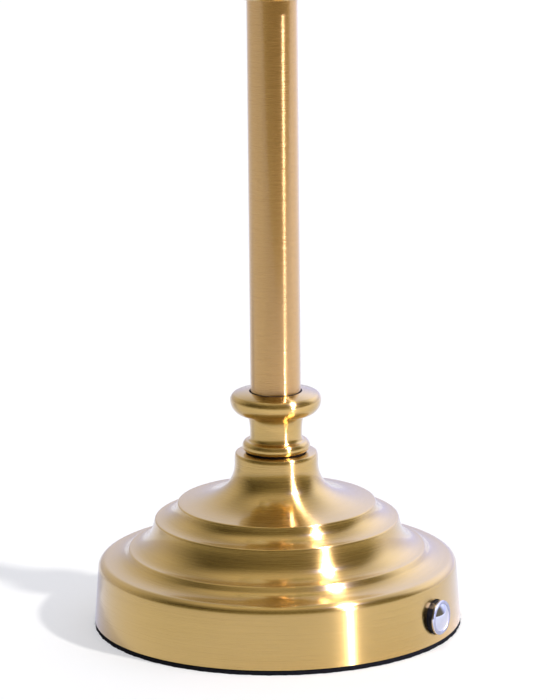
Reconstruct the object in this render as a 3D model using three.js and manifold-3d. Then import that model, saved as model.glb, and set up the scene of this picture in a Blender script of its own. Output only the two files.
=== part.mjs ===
// Cordless table lamp: a spun, stepped brass base with a push button, a tube stem between two turned
// spools, and a fabric shade that lifts off the lamp head. Millimetres, +Z up, the table at z = 0, the
// button towards -Y and the charging socket towards +Y.
import * as THREE from "three";
import { mergeVertices } from "three/addons/utils/BufferGeometryUtils.js";
import Module from "manifold-3d";

const wasm = await Module();
wasm.setup();

// Clearances shared by all pieces
const FIT = 0.3; // radial gap of a piece inside a bore or a recess
const SEAT = 0.1; // gap between two faces that rest on each other

// Spun base shell, measured on its outside. Each step is a tread (width) and a rise (height), and ends in a
// rounded lip. Leans are in degrees from upright, and the crown is the tilt at which a cove meets a lip
const SHELL_WALL = 1.0;
const BAND_HEIGHT = 20.1;
const BAND_DRAFT = 1.3; // how much wider the foot is than the top of the band
const SHOULDER_TREAD = 9.8;
const SHOULDER_RISE = 3.7;
const LOWER_TREAD = 8.45;
const LOWER_RISE = 9.6;
const UPPER_TREAD = 7.3;
const UPPER_RISE = 5.2;
const FLARE_TREAD = 18.45;
const FLARE_RISE = 16.3;
const NECK_RADIUS = 13.3;
const NECK_STRAIGHT = 2.6; // upright stretch under the neck's lip
const NECK_LIP_HEIGHT = 1.6;
const SHOULDER_STRAIGHT = 1.3; // straight stretch under the lowest step's lip
const SHOULDER_LEAN = 36;
const STEP_LEAN = 11;
const STEP_CROWN = 85;
const BAND_EDGE = 2.6; // rounding of the band's top edge
const SOFT_EDGE = 0.8; // rounding of the lowest step
const CRISP_EDGE = 0.6; // rounding of the upper steps and the neck

// Foot pad, base plate and ballast
const PAD_THICKNESS = 1.4;
const PAD_INSET = 0.5;
const PLATE_THICKNESS = 2.5;
const BALLAST_CLEARANCE = 4.8; // room over the cells for the lamp lead
const BALLAST_CHAMFER = 1.5;
const PILLAR_RADIUS = 3.2;
const PILLAR_OFFSET = 22;

// Turned spool, the same piece below and above the stem
const SPOOL_FOOT_RADIUS = 7.4;
const SPOOL_FOOT_HEIGHT = 0.3;
const BEAD_RADIUS = 10.75;
const BEAD_HEIGHT = 3.6;
const BEAD_ROOT = 1.5; // how far the bead's rounding reaches in
const WAIST_RADIUS = 8.4;
const WAIST_HEIGHT = 9.1;
const WAIST_FLARE = 1.35; // how far the waist spreads under the collar
const WAIST_FLARE_RISE = 4.4;
const COLLAR_RADIUS = 14.6;
const COLLAR_HEIGHT = 7.0;
const COLLAR_BELLY = 3.8; // from the collar's underside up to its widest place
const COLLAR_ROLL = 4.3; // how far the rounding under the belly reaches in
const COLLAR_CREST = 2.2; // the same over the belly
const COLLAR_FALL = 0.8; // fall of the top face from the socket out to its edge
const COLLAR_EDGE = 0.75; // share of a quarter turn after which the rounding meets the top face
const SOCKET_DEPTH = 4.0;

// Stem and the hollow threaded rod that clamps the lamp together
const STEM_RADIUS = 8.0;
const STEM_WALL = 1.0;
const STEM_VISIBLE = 126.2;
const ROD_RADIUS = 5.0;
const ROD_BORE_RADIUS = 3.5;
const ROD_OVERHANG = 2.0;
const NUT_FLATS = 15.0;
const NUT_HEIGHT = 5.0;
const WASHER_RADIUS = 9.2;
const WASHER_THICKNESS = 1.2;

// Lamp head
const CUP_FOOT_RADIUS = 9.6;
const CUP_RADIUS = 15.6;
const CUP_WALL = 1.5;
const CUP_HEADROOM = 1.0; // from the rod's end up to the heat sink
const CUP_LEDGE = 1.3; // ledge that carries the heat sink
const CUP_CURVE_HEIGHT = 8.0;
const CUP_FLANGE_RADIUS = 19.0;
const CUP_FLANGE_THICKNESS = 1.6;
const SINK_PLATE = 3.0;
const SINK_RECESS = 3.0; // from the cup's rim down to the heat sink
const LIGHT_BOARD_THICKNESS = 1.2;
const LIGHT_CHIP_RADIUS = 6.5;
const LIGHT_CHIP_THICKNESS = 0.8;
const DIFFUSER_WALL = 1.4;
const DIFFUSER_HEIGHT = 62;

// Shade and its wire fitter
const SHADE_BOTTOM_RADIUS = 66;
const SHADE_TOP_RADIUS = 44;
const SHADE_HEIGHT = 108;
const SHADE_WALL = 1.0;
const SHADE_RAISE = 12.5; // from the hub's seat up to the shade's lower edge
const HUB_CLEARANCE = 1.1; // hub bore round the diffuser
const HUB_WIDTH = 4.0;
const HUB_THICKNESS = 2.4;
const WIRE_RADIUS = 1.3;
const RING_INSET = 2.4; // from the shade's edge to the middle of each wire ring
const ARM_COUNT = 3;
const ARM_LEVEL = 4.0; // level stretch at each end of an arm
const TAPE_HEIGHT = 8.0;
const TAPE_THICKNESS = 0.5;

// Push button and switch
const BUTTON_HEIGHT = 9.8; // button axis above the table
const BUTTON_RADIUS = 5.5;
const BUTTON_PROUD = 2.3;
const BUTTON_TRAVEL = 2.0;
const BUTTON_GAP = 0.3;
const CAP_THICKNESS = 0.8; // chromed cap at its rim
const CAP_EDGE = 0.4; // rounding of the rim
const CAP_RING = 1.2; // flat ring round the dome
const CAP_DOME = 0.35; // how far the middle rises over the ring
const CAP_SPIGOT_RADIUS = 1.6;
const CAP_SPIGOT = 2.6; // length of the pin that holds the cap in the plunger
const SKIRT_INSET = 0.15; // how much smaller the plunger's head is than the cap
const SKIRT_TAIL = 3.0; // length of the plunger's head inside the shell
const PLUNGER_RADIUS = 2.0;
const PLUNGER_REACH = 4.0; // length of the plunger inside the switch at rest
const SWITCH_WIDTH = 12;
const SWITCH_TALL = 9;
const SWITCH_DEPTH = 9;
const TERMINAL_LENGTH = 3;
const BRACKET_THICKNESS = 1.2;
const BRACKET_WIDTH = 18;

// Cells and cradles
const CELL_RADIUS = 9.2;
const CELL_LENGTH = 65;
const CELL_CAP_RADIUS = 3.6;
const CELL_CAP_HEIGHT = 0.7;
const CELL_STRIP = 31.6; // free strip between the two cells
const CRADLE_FLOOR = 1.2;
const CRADLE_WALL = 1.6;
const CRADLE_INSET = 3.0; // how much shorter the cradle is than the cell, at each end
const LINK_THICKNESS = 0.4;
const LINK_HEIGHT = 8;

// Charging and driver board
const BOARD_WIDTH = 30;
const BOARD_DEPTH = 12;
const BOARD_THICKNESS = 1.6;
const BOARD_RAISE = 4.6; // underside of the board above the base plate
const BOARD_GAP = 1.2;
const POST_RADIUS = 2.5;
const POST_OFFSET = 12;
const POST_INSET = 2.8;
const SOCKET_WIDTH = 9.0;
const SOCKET_TALL = 3.3;
const SOCKET_LENGTH = 7.4;
const SOCKET_WALL = 0.35;
const PORT_GAP = 0.8;
const HEADER_WIDTH = 14;
const HEADER_DEPTH = 4.5;
const HEADER_TALL = 7;
const CHIP_SIDE = 4.6;
const CHIP_TALL = 1.2;
const COIL_SIDE = 5.2;
const COIL_TALL = 3.2;

// Countersunk and pan screws
const SCREW_SHANK_RADIUS = 1.5;
const SCREW_HEAD_RADIUS = 2.9;
const SCREW_HEAD_HEIGHT = 1.4;
const SCREW_BITE = 5; // length of the shank past the base plate

// Leads
const LAMP_LEAD_RADIUS = 1.4;
const THIN_LEAD_RADIUS = 0.8;

// Facets round a turned piece
const WIDE = 36;
const MEDIUM = 24;
const SMALL = 16;
const TINY = 12;
const COVE_FACET = 3.6; // length of a facet along a cove

// Heights above the table
const plateTop = PAD_THICKNESS + PLATE_THICKNESS;
const bandTop = PAD_THICKNESS + BAND_HEIGHT;
const lowerStep = bandTop + SHOULDER_RISE;
const middleStep = lowerStep + LOWER_RISE;
const upperStep = middleStep + UPPER_RISE;
const neckTop = upperStep + FLARE_RISE;
const spoolHeight = SPOOL_FOOT_HEIGHT + BEAD_HEIGHT + WAIST_HEIGHT + COLLAR_HEIGHT;
const lowerSpoolBase = neckTop + SEAT;
const stemFrom = lowerSpoolBase + spoolHeight;
const upperSpoolBase = stemFrom + STEM_VISIBLE;
const cupBase = upperSpoolBase + spoolHeight + SEAT;
const cupFloor = cupBase + CUP_WALL;
const upperWasherBase = cupFloor + SEAT;
const upperNutBase = upperWasherBase + WASHER_THICKNESS + SEAT;
const rodTop = upperNutBase + NUT_HEIGHT + ROD_OVERHANG / 2;
const sinkBase = rodTop + CUP_HEADROOM;
const sinkTop = sinkBase + SINK_PLATE;
const cupRim = sinkTop + SINK_RECESS;
const cupHeight = cupRim - cupBase;
const hubSeat = cupRim + SEAT;
const shadeBottom = hubSeat + SHADE_RAISE;

// Radii of the steps
const upperRadius = NECK_RADIUS + FLARE_TREAD;
const middleRadius = upperRadius + UPPER_TREAD;
const lowerRadius = middleRadius + LOWER_TREAD;
const bandRadius = lowerRadius + SHOULDER_TREAD;
const footRadius = bandRadius + BAND_DRAFT;
const bandStraight = BAND_HEIGHT - BAND_EDGE;
const bandRadiusAt = (height) => footRadius - (BAND_DRAFT * (height - PAD_THICKNESS)) / bandStraight;
const rodHole = ROD_RADIUS + FIT;

// Cells, ballast and rod
const cellOffset = CELL_STRIP / 2 + CELL_RADIUS;
const cellAxis = plateTop + SEAT + CRADLE_FLOOR + FIT + CELL_RADIUS;
const cellTop = cellAxis + CELL_RADIUS;
const ballastBottom = cellTop + BALLAST_CLEARANCE;
const ballastTop = upperStep - SHELL_WALL - FIT;
const ballastRadius = upperRadius - SHELL_WALL - CRISP_EDGE - FIT;
const lowerWasherBase = ballastBottom - SEAT - WASHER_THICKNESS;
const lowerNutBase = lowerWasherBase - SEAT - NUT_HEIGHT;
const rodBottom = lowerNutBase - ROD_OVERHANG;
const sinkRadius = CUP_RADIUS - CUP_WALL - FIT;
const diffuserRadius = sinkRadius - FIT;
const lightBoardRadius = diffuserRadius - DIFFUSER_WALL - FIT;

// Finishes
const finish = (color, roughness, metalness) =>
  new THREE.MeshStandardMaterial({ color, roughness, metalness });
const brass = finish(0xc2a15c, 0.34, 1);
const chrome = finish(0xd9dbe0, 0.08, 1);
const steel = finish(0xa9acb0, 0.4, 1);
const castIron = finish(0x3d3d3f, 0.75, 0.8);
const aluminium = finish(0xc4c6c8, 0.35, 1);
const felt = finish(0x17171a, 0.95, 0);
const blackPlastic = finish(0x232326, 0.55, 0);
const nickel = finish(0xbdb9b0, 0.3, 1);
const cellWrap = finish(0x2f5f86, 0.4, 0);
const boardGreen = finish(0x1f5a3c, 0.5, 0);
const opal = finish(0xf6f3ea, 0.4, 0);
const lightYellow = finish(0xe8cf6a, 0.5, 0);
const linen = finish(0xe9e1cf, 0.9, 0);
const whiteWire = finish(0xe6e4df, 0.45, 0.2);
const leadJacket = finish(0xd8d5cc, 0.6, 0);
const redJacket = finish(0x9b2b26, 0.6, 0);
const blackJacket = finish(0x1d1d1f, 0.6, 0);

const lamp = new THREE.Group();

// Adds a named mesh to the lamp, or to one of its groups.
function add(name, geometry, material, parent = lamp) {
  const mesh = new THREE.Mesh(geometry, material);
  mesh.name = name;
  parent.add(mesh);
  return mesh;
}

// Solids for cutting and joining
function solidOf(geometry) {
  const bare = geometry.index ? geometry.toNonIndexed() : geometry.clone();
  bare.deleteAttribute("normal");
  bare.deleteAttribute("uv");
  const merged = mergeVertices(bare, 1e-4);
  const mesh = new wasm.Mesh({
    numProp: 3,
    vertProperties: merged.attributes.position.array,
    triVerts: new Uint32Array(merged.index.array),
  });
  return new wasm.Manifold(mesh);
}

function geometryOf(solid) {
  const mesh = solid.getMesh();
  const geometry = new THREE.BufferGeometry();
  geometry.setAttribute("position", new THREE.BufferAttribute(mesh.vertProperties, 3));
  geometry.setIndex(new THREE.BufferAttribute(mesh.triVerts, 1));
  return geometry;
}

const cut = (body, ...tools) =>
  geometryOf(tools.reduce((rest, tool) => rest.subtract(solidOf(tool)), solidOf(body)));
const join = (body, ...others) =>
  geometryOf(others.reduce((all, other) => all.add(solidOf(other)), solidOf(body)));

// A profile of (radius, height) revolved about +Z. A ring's profile closes on itself.
function turned(profile, facets) {
  return new THREE.LatheGeometry(profile, facets).rotateX(Math.PI / 2);
}

const point = (radius, height) => new THREE.Vector2(radius, height);
const closed = (points) => [...points, points[0].clone()];

// Points along an ellipse between two angles, which are given in quarter turns.
function arc(centre, width, rise, from, to, pieces) {
  const [start, end] = [from, to].map((turns) => (turns * Math.PI) / 2);
  const curve = new THREE.EllipseCurve(centre.x, centre.y, width, rise, start, end, to < from);
  return curve.getPoints(pieces);
}

// Drops points that repeat the one before them.
const distinct = (points) => points.filter((p, i) => i === 0 || p.distanceTo(points[i - 1]) > 1e-6);

// A plain tube or washer standing on z = 0.
function tube(outer, inner, height, facets) {
  const corners = [point(inner, 0), point(outer, 0), point(outer, height), point(inner, height)];
  return turned(closed(corners), facets);
}

// A plain round bar standing on z = 0.
function bar(radius, height, facets) {
  return turned([point(0, 0), point(radius, 0), point(radius, height), point(0, height)], facets);
}

// A flat outline in the YZ plane, pushed out along X and centred on it.
function alongX(outline, width) {
  const settings = { depth: width, bevelEnabled: false, curveSegments: 10 };
  const geometry = new THREE.ExtrudeGeometry(outline, settings);
  return geometry.translate(0, 0, -width / 2).rotateX(Math.PI / 2).rotateZ(Math.PI / 2);
}

// A flat outline in the XZ plane, pushed out along +Y from y = 0.
function alongY(outline, length) {
  const settings = { depth: length, bevelEnabled: false, curveSegments: 6 };
  const geometry = new THREE.ExtrudeGeometry(outline, settings);
  return geometry.rotateX(Math.PI / 2).translate(0, length, 0);
}

// A slot with round ends, centred on the origin.
function slot(width, height) {
  const radius = height / 2;
  const half = width / 2 - radius;
  const outline = new THREE.Shape();
  outline.moveTo(-half, -radius);
  outline.lineTo(half, -radius);
  outline.absarc(half, 0, radius, -Math.PI / 2, Math.PI / 2, false);
  outline.lineTo(-half, radius);
  outline.absarc(-half, 0, radius, Math.PI / 2, (3 * Math.PI) / 2, false);
  return outline;
}

// A round lead along a smooth curve through the given points.
function lead(points, radius, steps) {
  const route = new THREE.CatmullRomCurve3(points.map(([x, y, z]) => new THREE.Vector3(x, y, z)));
  const section = new THREE.Shape();
  const SIDES = 6;
  for (let side = 0; side < SIDES; side += 1) {
    const angle = (side / SIDES) * 2 * Math.PI;
    const corner = [radius * Math.cos(angle), radius * Math.sin(angle)];
    if (side === 0) section.moveTo(...corner);
    else section.lineTo(...corner);
  }
  return new THREE.ExtrudeGeometry(section, { steps, extrudePath: route, bevelEnabled: false });
}

// The direction down a wall whose outside is tilted up by an angle in degrees.
function downhill(tilt) {
  const angle = THREE.MathUtils.degToRad(tilt);
  return point(Math.sin(angle), -Math.cos(angle));
}

// The lip of a step: a straight stretch of wall, then a rounding from the wall's lean over to the crown.
function stepLip(radius, height, edge, edgeHeight, lean, crown, straight) {
  const reach = edge * Math.cos(THREE.MathUtils.degToRad(lean));
  const rise = edgeHeight * Math.sin(THREE.MathUtils.degToRad(crown));
  const pieces = 1 + Math.ceil(edgeHeight);
  const centre = point(radius - reach, height - rise);
  const rounding = arc(centre, edge, edgeHeight, lean / 90, crown / 90, pieces);
  const foot = rounding[0].clone().addScaledVector(downhill(lean), straight);
  return { lean, crown, points: distinct([foot, ...rounding]) };
}

// A cove leaves the crown of one lip and runs smoothly into the wall of the lip above it.
function cove(below, above) {
  const start = below.points.at(-1);
  const end = above.points[0];
  const uphill = downhill(below.crown).negate();
  const wall = downhill(above.lean);
  const reach = end.clone().sub(start).cross(wall) / uphill.cross(wall);
  return new THREE.QuadraticBezierCurve(start, start.clone().addScaledVector(uphill, reach), end);
}

// Base shell: a band, a shoulder, two steps and a trumpet neck, joined by coves. The inside repeats the
// chain of coves one wall in and one wall down.
function baseShell() {
  const bandLean = THREE.MathUtils.radToDeg(Math.atan2(BAND_DRAFT, bandStraight));
  const lips = [
    stepLip(bandRadius, bandTop, BAND_EDGE, BAND_EDGE, bandLean, STEP_CROWN, 0),
    stepLip(lowerRadius, lowerStep, SOFT_EDGE, SOFT_EDGE, SHOULDER_LEAN, STEP_CROWN, SHOULDER_STRAIGHT),
    stepLip(middleRadius, middleStep, CRISP_EDGE, CRISP_EDGE, STEP_LEAN, STEP_CROWN, 0),
    stepLip(upperRadius, upperStep, CRISP_EDGE, CRISP_EDGE, STEP_LEAN, STEP_CROWN, 0),
    stepLip(NECK_RADIUS, neckTop, CRISP_EDGE, NECK_LIP_HEIGHT, 0, 90, NECK_STRAIGHT),
  ];
  const coves = lips.slice(1).map((above, i) => cove(lips[i], above));
  const outside = [point(footRadius, PAD_THICKNESS), ...lips[0].points];
  const facets = coves.map((curve) => Math.ceil(curve.getLength() / COVE_FACET));
  coves.forEach((curve, i) => outside.push(...curve.getPoints(facets[i]), ...lips[i + 1].points));

  const wallOffset = point(SHELL_WALL, SHELL_WALL);
  const inside = [
    point(rodHole, neckTop),
    point(rodHole, neckTop - SHELL_WALL),
    point(NECK_RADIUS - SHELL_WALL, neckTop - SHELL_WALL),
  ];
  for (let i = coves.length - 1; i >= 0; i -= 1) {
    const inner = coves[i].getPoints(Math.ceil(facets[i] / 2)).map((p) => p.sub(wallOffset));
    inside.push(...inner.reverse());
  }
  inside.push(point(bandRadius - SHELL_WALL, bandTop - BAND_EDGE));
  inside.push(point(footRadius - SHELL_WALL, PAD_THICKNESS));
  const shell = turned(closed(distinct([...outside, ...inside])), WIDE);

  const buttonHole = bar(BUTTON_RADIUS + BUTTON_GAP, footRadius, MEDIUM)
    .rotateX(Math.PI / 2)
    .translate(0, 0, BUTTON_HEIGHT);
  const port = alongY(slot(SOCKET_WIDTH + 2 * PORT_GAP, SOCKET_TALL + 2 * PORT_GAP), 2 * footRadius)
    .translate(0, 0, socketAxis);
  return cut(shell, buttonHole, port);
}

// Foot pad, plate and ballast
function countersunkSeat() {
  const throat = SCREW_SHANK_RADIUS + FIT;
  const rim = SCREW_HEAD_RADIUS + FIT;
  return turned(
    [
      point(0, -1),
      point(rim, -1),
      point(rim, 0),
      point(throat, SCREW_HEAD_HEIGHT),
      point(throat, PLATE_THICKNESS + 1),
      point(0, PLATE_THICKNESS + 1),
    ],
    TINY,
  );
}

function basePlate(screwPlaces) {
  const radius = bandRadiusAt(plateTop) - SHELL_WALL - FIT;
  const plate = bar(radius, PLATE_THICKNESS - SEAT, WIDE);
  return cut(plate, ...screwPlaces.map(([x, y]) => countersunkSeat().translate(x, y, -SEAT)));
}

function ballast() {
  const height = ballastTop - ballastBottom;
  const bore = ROD_RADIUS + FIT;
  const corners = [
    point(bore, 0),
    point(ballastRadius - BALLAST_CHAMFER, 0),
    point(ballastRadius, BALLAST_CHAMFER),
    point(ballastRadius, height),
    point(bore, height),
  ];
  return turned(closed(corners), WIDE);
}

// A pillar with a blind hole for its screw.
function pillar(length) {
  const hole = SCREW_SHANK_RADIUS + FIT;
  const depth = SCREW_BITE + 2 * FIT;
  return turned(
    [
      point(hole, 0),
      point(PILLAR_RADIUS, 0),
      point(PILLAR_RADIUS, length),
      point(0, length),
      point(0, depth),
      point(hole, depth),
      point(hole, 0),
    ],
    SMALL,
  );
}

// A countersunk screw, its head flush with the underside of the plate.
function countersunkScrew(length) {
  return turned(
    [
      point(0, 0),
      point(SCREW_HEAD_RADIUS, 0),
      point(SCREW_SHANK_RADIUS, SCREW_HEAD_HEIGHT),
      point(SCREW_SHANK_RADIUS, length),
      point(0, length),
    ],
    TINY,
  );
}

// Turned spool, standing on its foot with the collar on top.
function spool() {
  const beadBase = SPOOL_FOOT_HEIGHT;
  const beadTop = beadBase + BEAD_HEIGHT;
  const waistTop = beadTop + WAIST_HEIGHT;
  const top = waistTop + COLLAR_HEIGHT;
  const root = BEAD_RADIUS - BEAD_ROOT;
  const flare = point(WAIST_RADIUS + WAIST_FLARE, waistTop - WAIST_FLARE_RISE);
  const belly = waistTop + COLLAR_BELLY;
  const crestRise = (top - COLLAR_FALL - belly) / Math.sin((COLLAR_EDGE * Math.PI) / 2);
  const socket = STEM_RADIUS + FIT;
  const profile = [
    point(rodHole, 0),
    point(SPOOL_FOOT_RADIUS, 0),
    point(SPOOL_FOOT_RADIUS, beadBase),
    ...arc(point(root, beadBase + BEAD_HEIGHT / 2), BEAD_ROOT, BEAD_HEIGHT / 2, -1, 1, 4),
    point(WAIST_RADIUS, beadTop),
    ...arc(flare, WAIST_FLARE, WAIST_FLARE_RISE, 2, 1, 2),
    ...arc(point(COLLAR_RADIUS - COLLAR_ROLL, belly), COLLAR_ROLL, COLLAR_BELLY, -1, 0, 3),
    ...arc(point(COLLAR_RADIUS - COLLAR_CREST, belly), COLLAR_CREST, crestRise, 0, COLLAR_EDGE, 3),
    point(socket, top),
    point(socket, top - SOCKET_DEPTH),
    point(rodHole, top - SOCKET_DEPTH),
  ];
  return turned(closed(distinct(profile)), MEDIUM);
}

// Hexagon nut standing on z = 0.
function nut() {
  const corner = NUT_FLATS / 2 / Math.cos(Math.PI / 6);
  return cut(bar(corner, NUT_HEIGHT, 6), bar(rodHole, NUT_HEIGHT * 3, SMALL).translate(0, 0, -NUT_HEIGHT));
}

// Lamp cup: an ogee-shaped brass cup with a flange that carries the shade's hub.
function lampCup() {
  const inner = CUP_RADIUS - CUP_WALL;
  const lip = CUP_FLANGE_THICKNESS / 2;
  const outerCurve = new THREE.CubicBezierCurve(
    point(CUP_FOOT_RADIUS, 0),
    point(CUP_FOOT_RADIUS + 1, CUP_CURVE_HEIGHT * 0.45),
    point(CUP_RADIUS, CUP_CURVE_HEIGHT * 0.35),
    point(CUP_RADIUS, CUP_CURVE_HEIGHT),
  );
  const ledge = sinkBase - SEAT - cupBase;
  const well = WASHER_RADIUS + FIT;
  const profile = [
    point(rodHole, 0),
    ...outerCurve.getPoints(5),
    point(CUP_RADIUS, cupHeight - CUP_FLANGE_THICKNESS),
    ...arc(point(CUP_FLANGE_RADIUS - lip, cupHeight - lip), lip, lip, -1, 1, 3),
    point(inner, cupHeight),
    point(inner, ledge),
    point(inner - CUP_LEDGE, ledge),
    point(well, CUP_CURVE_HEIGHT * 0.6),
    point(well, CUP_WALL),
    point(rodHole, CUP_WALL),
  ];
  return turned(closed(distinct(profile)), MEDIUM);
}

// Opal diffuser: a thin tube closed by a dome.
function diffuser() {
  const straight = DIFFUSER_HEIGHT - diffuserRadius;
  const inner = diffuserRadius - DIFFUSER_WALL;
  const profile = [
    point(inner, 0),
    point(diffuserRadius, 0),
    ...arc(point(0, straight), diffuserRadius, diffuserRadius, 0, 1, 4),
    ...arc(point(0, straight), inner, inner, 1, 0, 3),
    point(inner, 0),
  ];
  return turned(profile, MEDIUM);
}

// Shade. The wall leans in by the same amount all the way up.
const shadeLean = (SHADE_BOTTOM_RADIUS - SHADE_TOP_RADIUS) / SHADE_HEIGHT;
const shadeSlant = Math.hypot(1, shadeLean);
const shadeOuter = (height) => SHADE_BOTTOM_RADIUS - shadeLean * height;
const shadeInner = (height) => shadeOuter(height) - SHADE_WALL * shadeSlant;

function shadeCover() {
  const corners = [
    point(shadeInner(0), 0),
    point(shadeOuter(0), 0),
    point(shadeOuter(SHADE_HEIGHT), SHADE_HEIGHT),
    point(shadeInner(SHADE_HEIGHT), SHADE_HEIGHT),
  ];
  return turned(closed(corners), WIDE);
}

// A hem tape laid on the outside of the cover between two heights.
function hemTape(from, to) {
  const gap = SEAT * shadeSlant;
  const thick = (SEAT + TAPE_THICKNESS) * shadeSlant;
  const corners = [
    point(shadeOuter(from) + gap, from),
    point(shadeOuter(from) + thick, from),
    point(shadeOuter(to) + thick, to),
    point(shadeOuter(to) + gap, to),
  ];
  return turned(closed(corners), WIDE);
}

// Radius of a wire ring that lies against the inside of the cover.
const ringRadius = (height) => shadeInner(height) - (WIRE_RADIUS + FIT) * shadeSlant;

function wireRing(radius) {
  return turned(arc(point(radius, 0), WIRE_RADIUS, WIRE_RADIUS, 0, 4, 6), WIDE);
}

// Push button, its axis local +Z. The chromed cap has a flat ring round a low dome, and a pin at its back.
const buttonSeat = bandRadiusAt(BUTTON_HEIGHT);
const capFace = buttonSeat + BUTTON_PROUD;
const capBack = capFace - CAP_THICKNESS;
const skirtRear = buttonSeat - SHELL_WALL - SKIRT_TAIL;
const switchFront = skirtRear - BUTTON_TRAVEL - 3 * FIT;
const switchRear = switchFront - SWITCH_DEPTH;

function buttonCap() {
  const rounding = point(BUTTON_RADIUS - CAP_EDGE, CAP_THICKNESS - CAP_EDGE);
  const domeRadius = BUTTON_RADIUS - CAP_RING;
  const profile = [
    point(0, -CAP_SPIGOT),
    point(CAP_SPIGOT_RADIUS, -CAP_SPIGOT),
    point(CAP_SPIGOT_RADIUS, 0),
    point(BUTTON_RADIUS, 0),
    ...arc(rounding, CAP_EDGE, CAP_EDGE, 0, 1, 2),
    ...arc(point(0, CAP_THICKNESS), domeRadius, CAP_DOME, 0, 1, 3),
  ];
  return turned(profile, MEDIUM);
}

// The black plunger: a head that fills the shell's hole behind the cap, and a rod that works the switch.
function plunger() {
  const head = capBack - SEAT - skirtRear;
  const rod = skirtRear - switchFront + PLUNGER_REACH;
  const skirt = BUTTON_RADIUS - SKIRT_INSET;
  const grip = CAP_SPIGOT_RADIUS + SEAT;
  const gripFloor = head - CAP_SPIGOT;
  const profile = [
    point(0, -rod),
    point(PLUNGER_RADIUS, -rod),
    point(PLUNGER_RADIUS, 0),
    point(skirt, 0),
    point(skirt, head),
    point(grip, head),
    point(grip, gripFloor),
    point(0, gripFloor),
  ];
  return turned(profile, SMALL);
}

function switchBody() {
  const block = new THREE.BoxGeometry(SWITCH_WIDTH, SWITCH_TALL, SWITCH_DEPTH)
    .translate(0, 0, -SWITCH_DEPTH / 2);
  const depth = PLUNGER_REACH + BUTTON_TRAVEL + FIT;
  return cut(block, bar(PLUNGER_RADIUS + FIT, depth + 1, SMALL).translate(0, 0, -depth));
}

// Switch bracket: an angle plate, its foot on the base plate and its upright behind the switch.
const bracketRear = switchRear - SEAT - BRACKET_THICKNESS;
const bracketFoot = switchFront;

function switchBracket(screwPlaces) {
  const rise = BUTTON_HEIGHT + SWITCH_TALL / 2 - plateTop - SEAT;
  const angle = new THREE.Shape();
  angle.moveTo(-bracketRear, 0);
  angle.lineTo(-bracketRear, rise);
  angle.lineTo(-bracketRear - BRACKET_THICKNESS, rise);
  angle.lineTo(-bracketRear - BRACKET_THICKNESS, BRACKET_THICKNESS);
  angle.lineTo(-bracketFoot, BRACKET_THICKNESS);
  angle.lineTo(-bracketFoot, 0);
  const holes = screwPlaces.map(([x, y]) =>
    bar(SCREW_SHANK_RADIUS + FIT / 2, 4 * BRACKET_THICKNESS, TINY).translate(x, y, -BRACKET_THICKNESS));
  return cut(alongX(angle, BRACKET_WIDTH), ...holes);
}

// Cell: a can along X with a small raised cap at its positive end.
function cell() {
  const CHAMFER = 0.8;
  const half = CELL_LENGTH / 2;
  return turned(
    [
      point(0, -half),
      point(CELL_RADIUS - CHAMFER, -half),
      point(CELL_RADIUS, -half + CHAMFER),
      point(CELL_RADIUS, half - CHAMFER),
      point(CELL_RADIUS - CHAMFER, half),
      point(CELL_CAP_RADIUS, half),
      point(CELL_CAP_RADIUS, half + CELL_CAP_HEIGHT),
      point(0, half + CELL_CAP_HEIGHT),
    ],
    SMALL,
  ).rotateY(Math.PI / 2);
}

// Cradle: a block with a trough that closes past the cell's middle, so that the cell snaps in.
function cradle() {
  const trough = CELL_RADIUS + FIT;
  const half = CELL_RADIUS + CRADLE_WALL;
  const axis = CRADLE_FLOOR + trough;
  const top = axis + CELL_RADIUS * 0.25;
  const open = Math.asin((top - axis) / trough);
  const outline = new THREE.Shape();
  outline.moveTo(-half, 0);
  outline.lineTo(half, 0);
  outline.lineTo(half, top);
  outline.absarc(0, axis, trough, open, Math.PI - open, true);
  outline.lineTo(-half, top);
  return alongX(outline, CELL_LENGTH - 2 * CRADLE_INSET);
}

// Charging board, set back from the inside of the shell.
const boardBottom = plateTop + BOARD_RAISE;
const boardTop = boardBottom + BOARD_THICKNESS;
const boardInner = bandRadiusAt(boardTop) - SHELL_WALL;
const boardFront = Math.sqrt(boardInner ** 2 - (BOARD_WIDTH / 2) ** 2) - BOARD_GAP;
const boardRear = boardFront - BOARD_DEPTH;
const socketAxis = boardTop + SEAT + SOCKET_TALL / 2;
const socketFront = Math.sqrt(boardInner ** 2 - (SOCKET_WIDTH / 2) ** 2) - 2 * FIT;
const postRow = boardRear + POST_INSET;
const sidePlace = (POST_OFFSET + SOCKET_WIDTH / 2) / 2 + 1;

function box(width, depth, height) {
  return new THREE.BoxGeometry(width, depth, height).translate(0, 0, height / 2);
}

function chargeBoard() {
  const board = box(BOARD_WIDTH, BOARD_DEPTH, BOARD_THICKNESS);
  const holes = [-1, 1].map((side) =>
    bar(SCREW_SHANK_RADIUS + FIT, 4 * BOARD_THICKNESS, TINY)
      .translate(side * POST_OFFSET, postRow - (boardFront + boardRear) / 2, -BOARD_THICKNESS));
  return cut(board, ...holes);
}

function usbSocket() {
  const outer = slot(SOCKET_WIDTH, SOCKET_TALL);
  outer.holes.push(slot(SOCKET_WIDTH - 2 * SOCKET_WALL, SOCKET_TALL - 2 * SOCKET_WALL));
  return alongY(outer, SOCKET_LENGTH);
}

// Contact tongue of the socket: a plug at the back with a thin blade towards the mouth.
function usbTongue() {
  const BACK = 2.0;
  const BLADE = 0.7;
  const inset = SOCKET_WALL + FIT / 2;
  const plug = alongY(slot(SOCKET_WIDTH - 2 * inset, SOCKET_TALL - 2 * inset), BACK);
  const blade = new THREE.BoxGeometry(SOCKET_WIDTH - 4 * inset - BLADE, SOCKET_LENGTH - BACK, BLADE)
    .translate(0, SOCKET_LENGTH / 2 - FIT, 0);
  return join(plug, blade);
}

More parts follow.
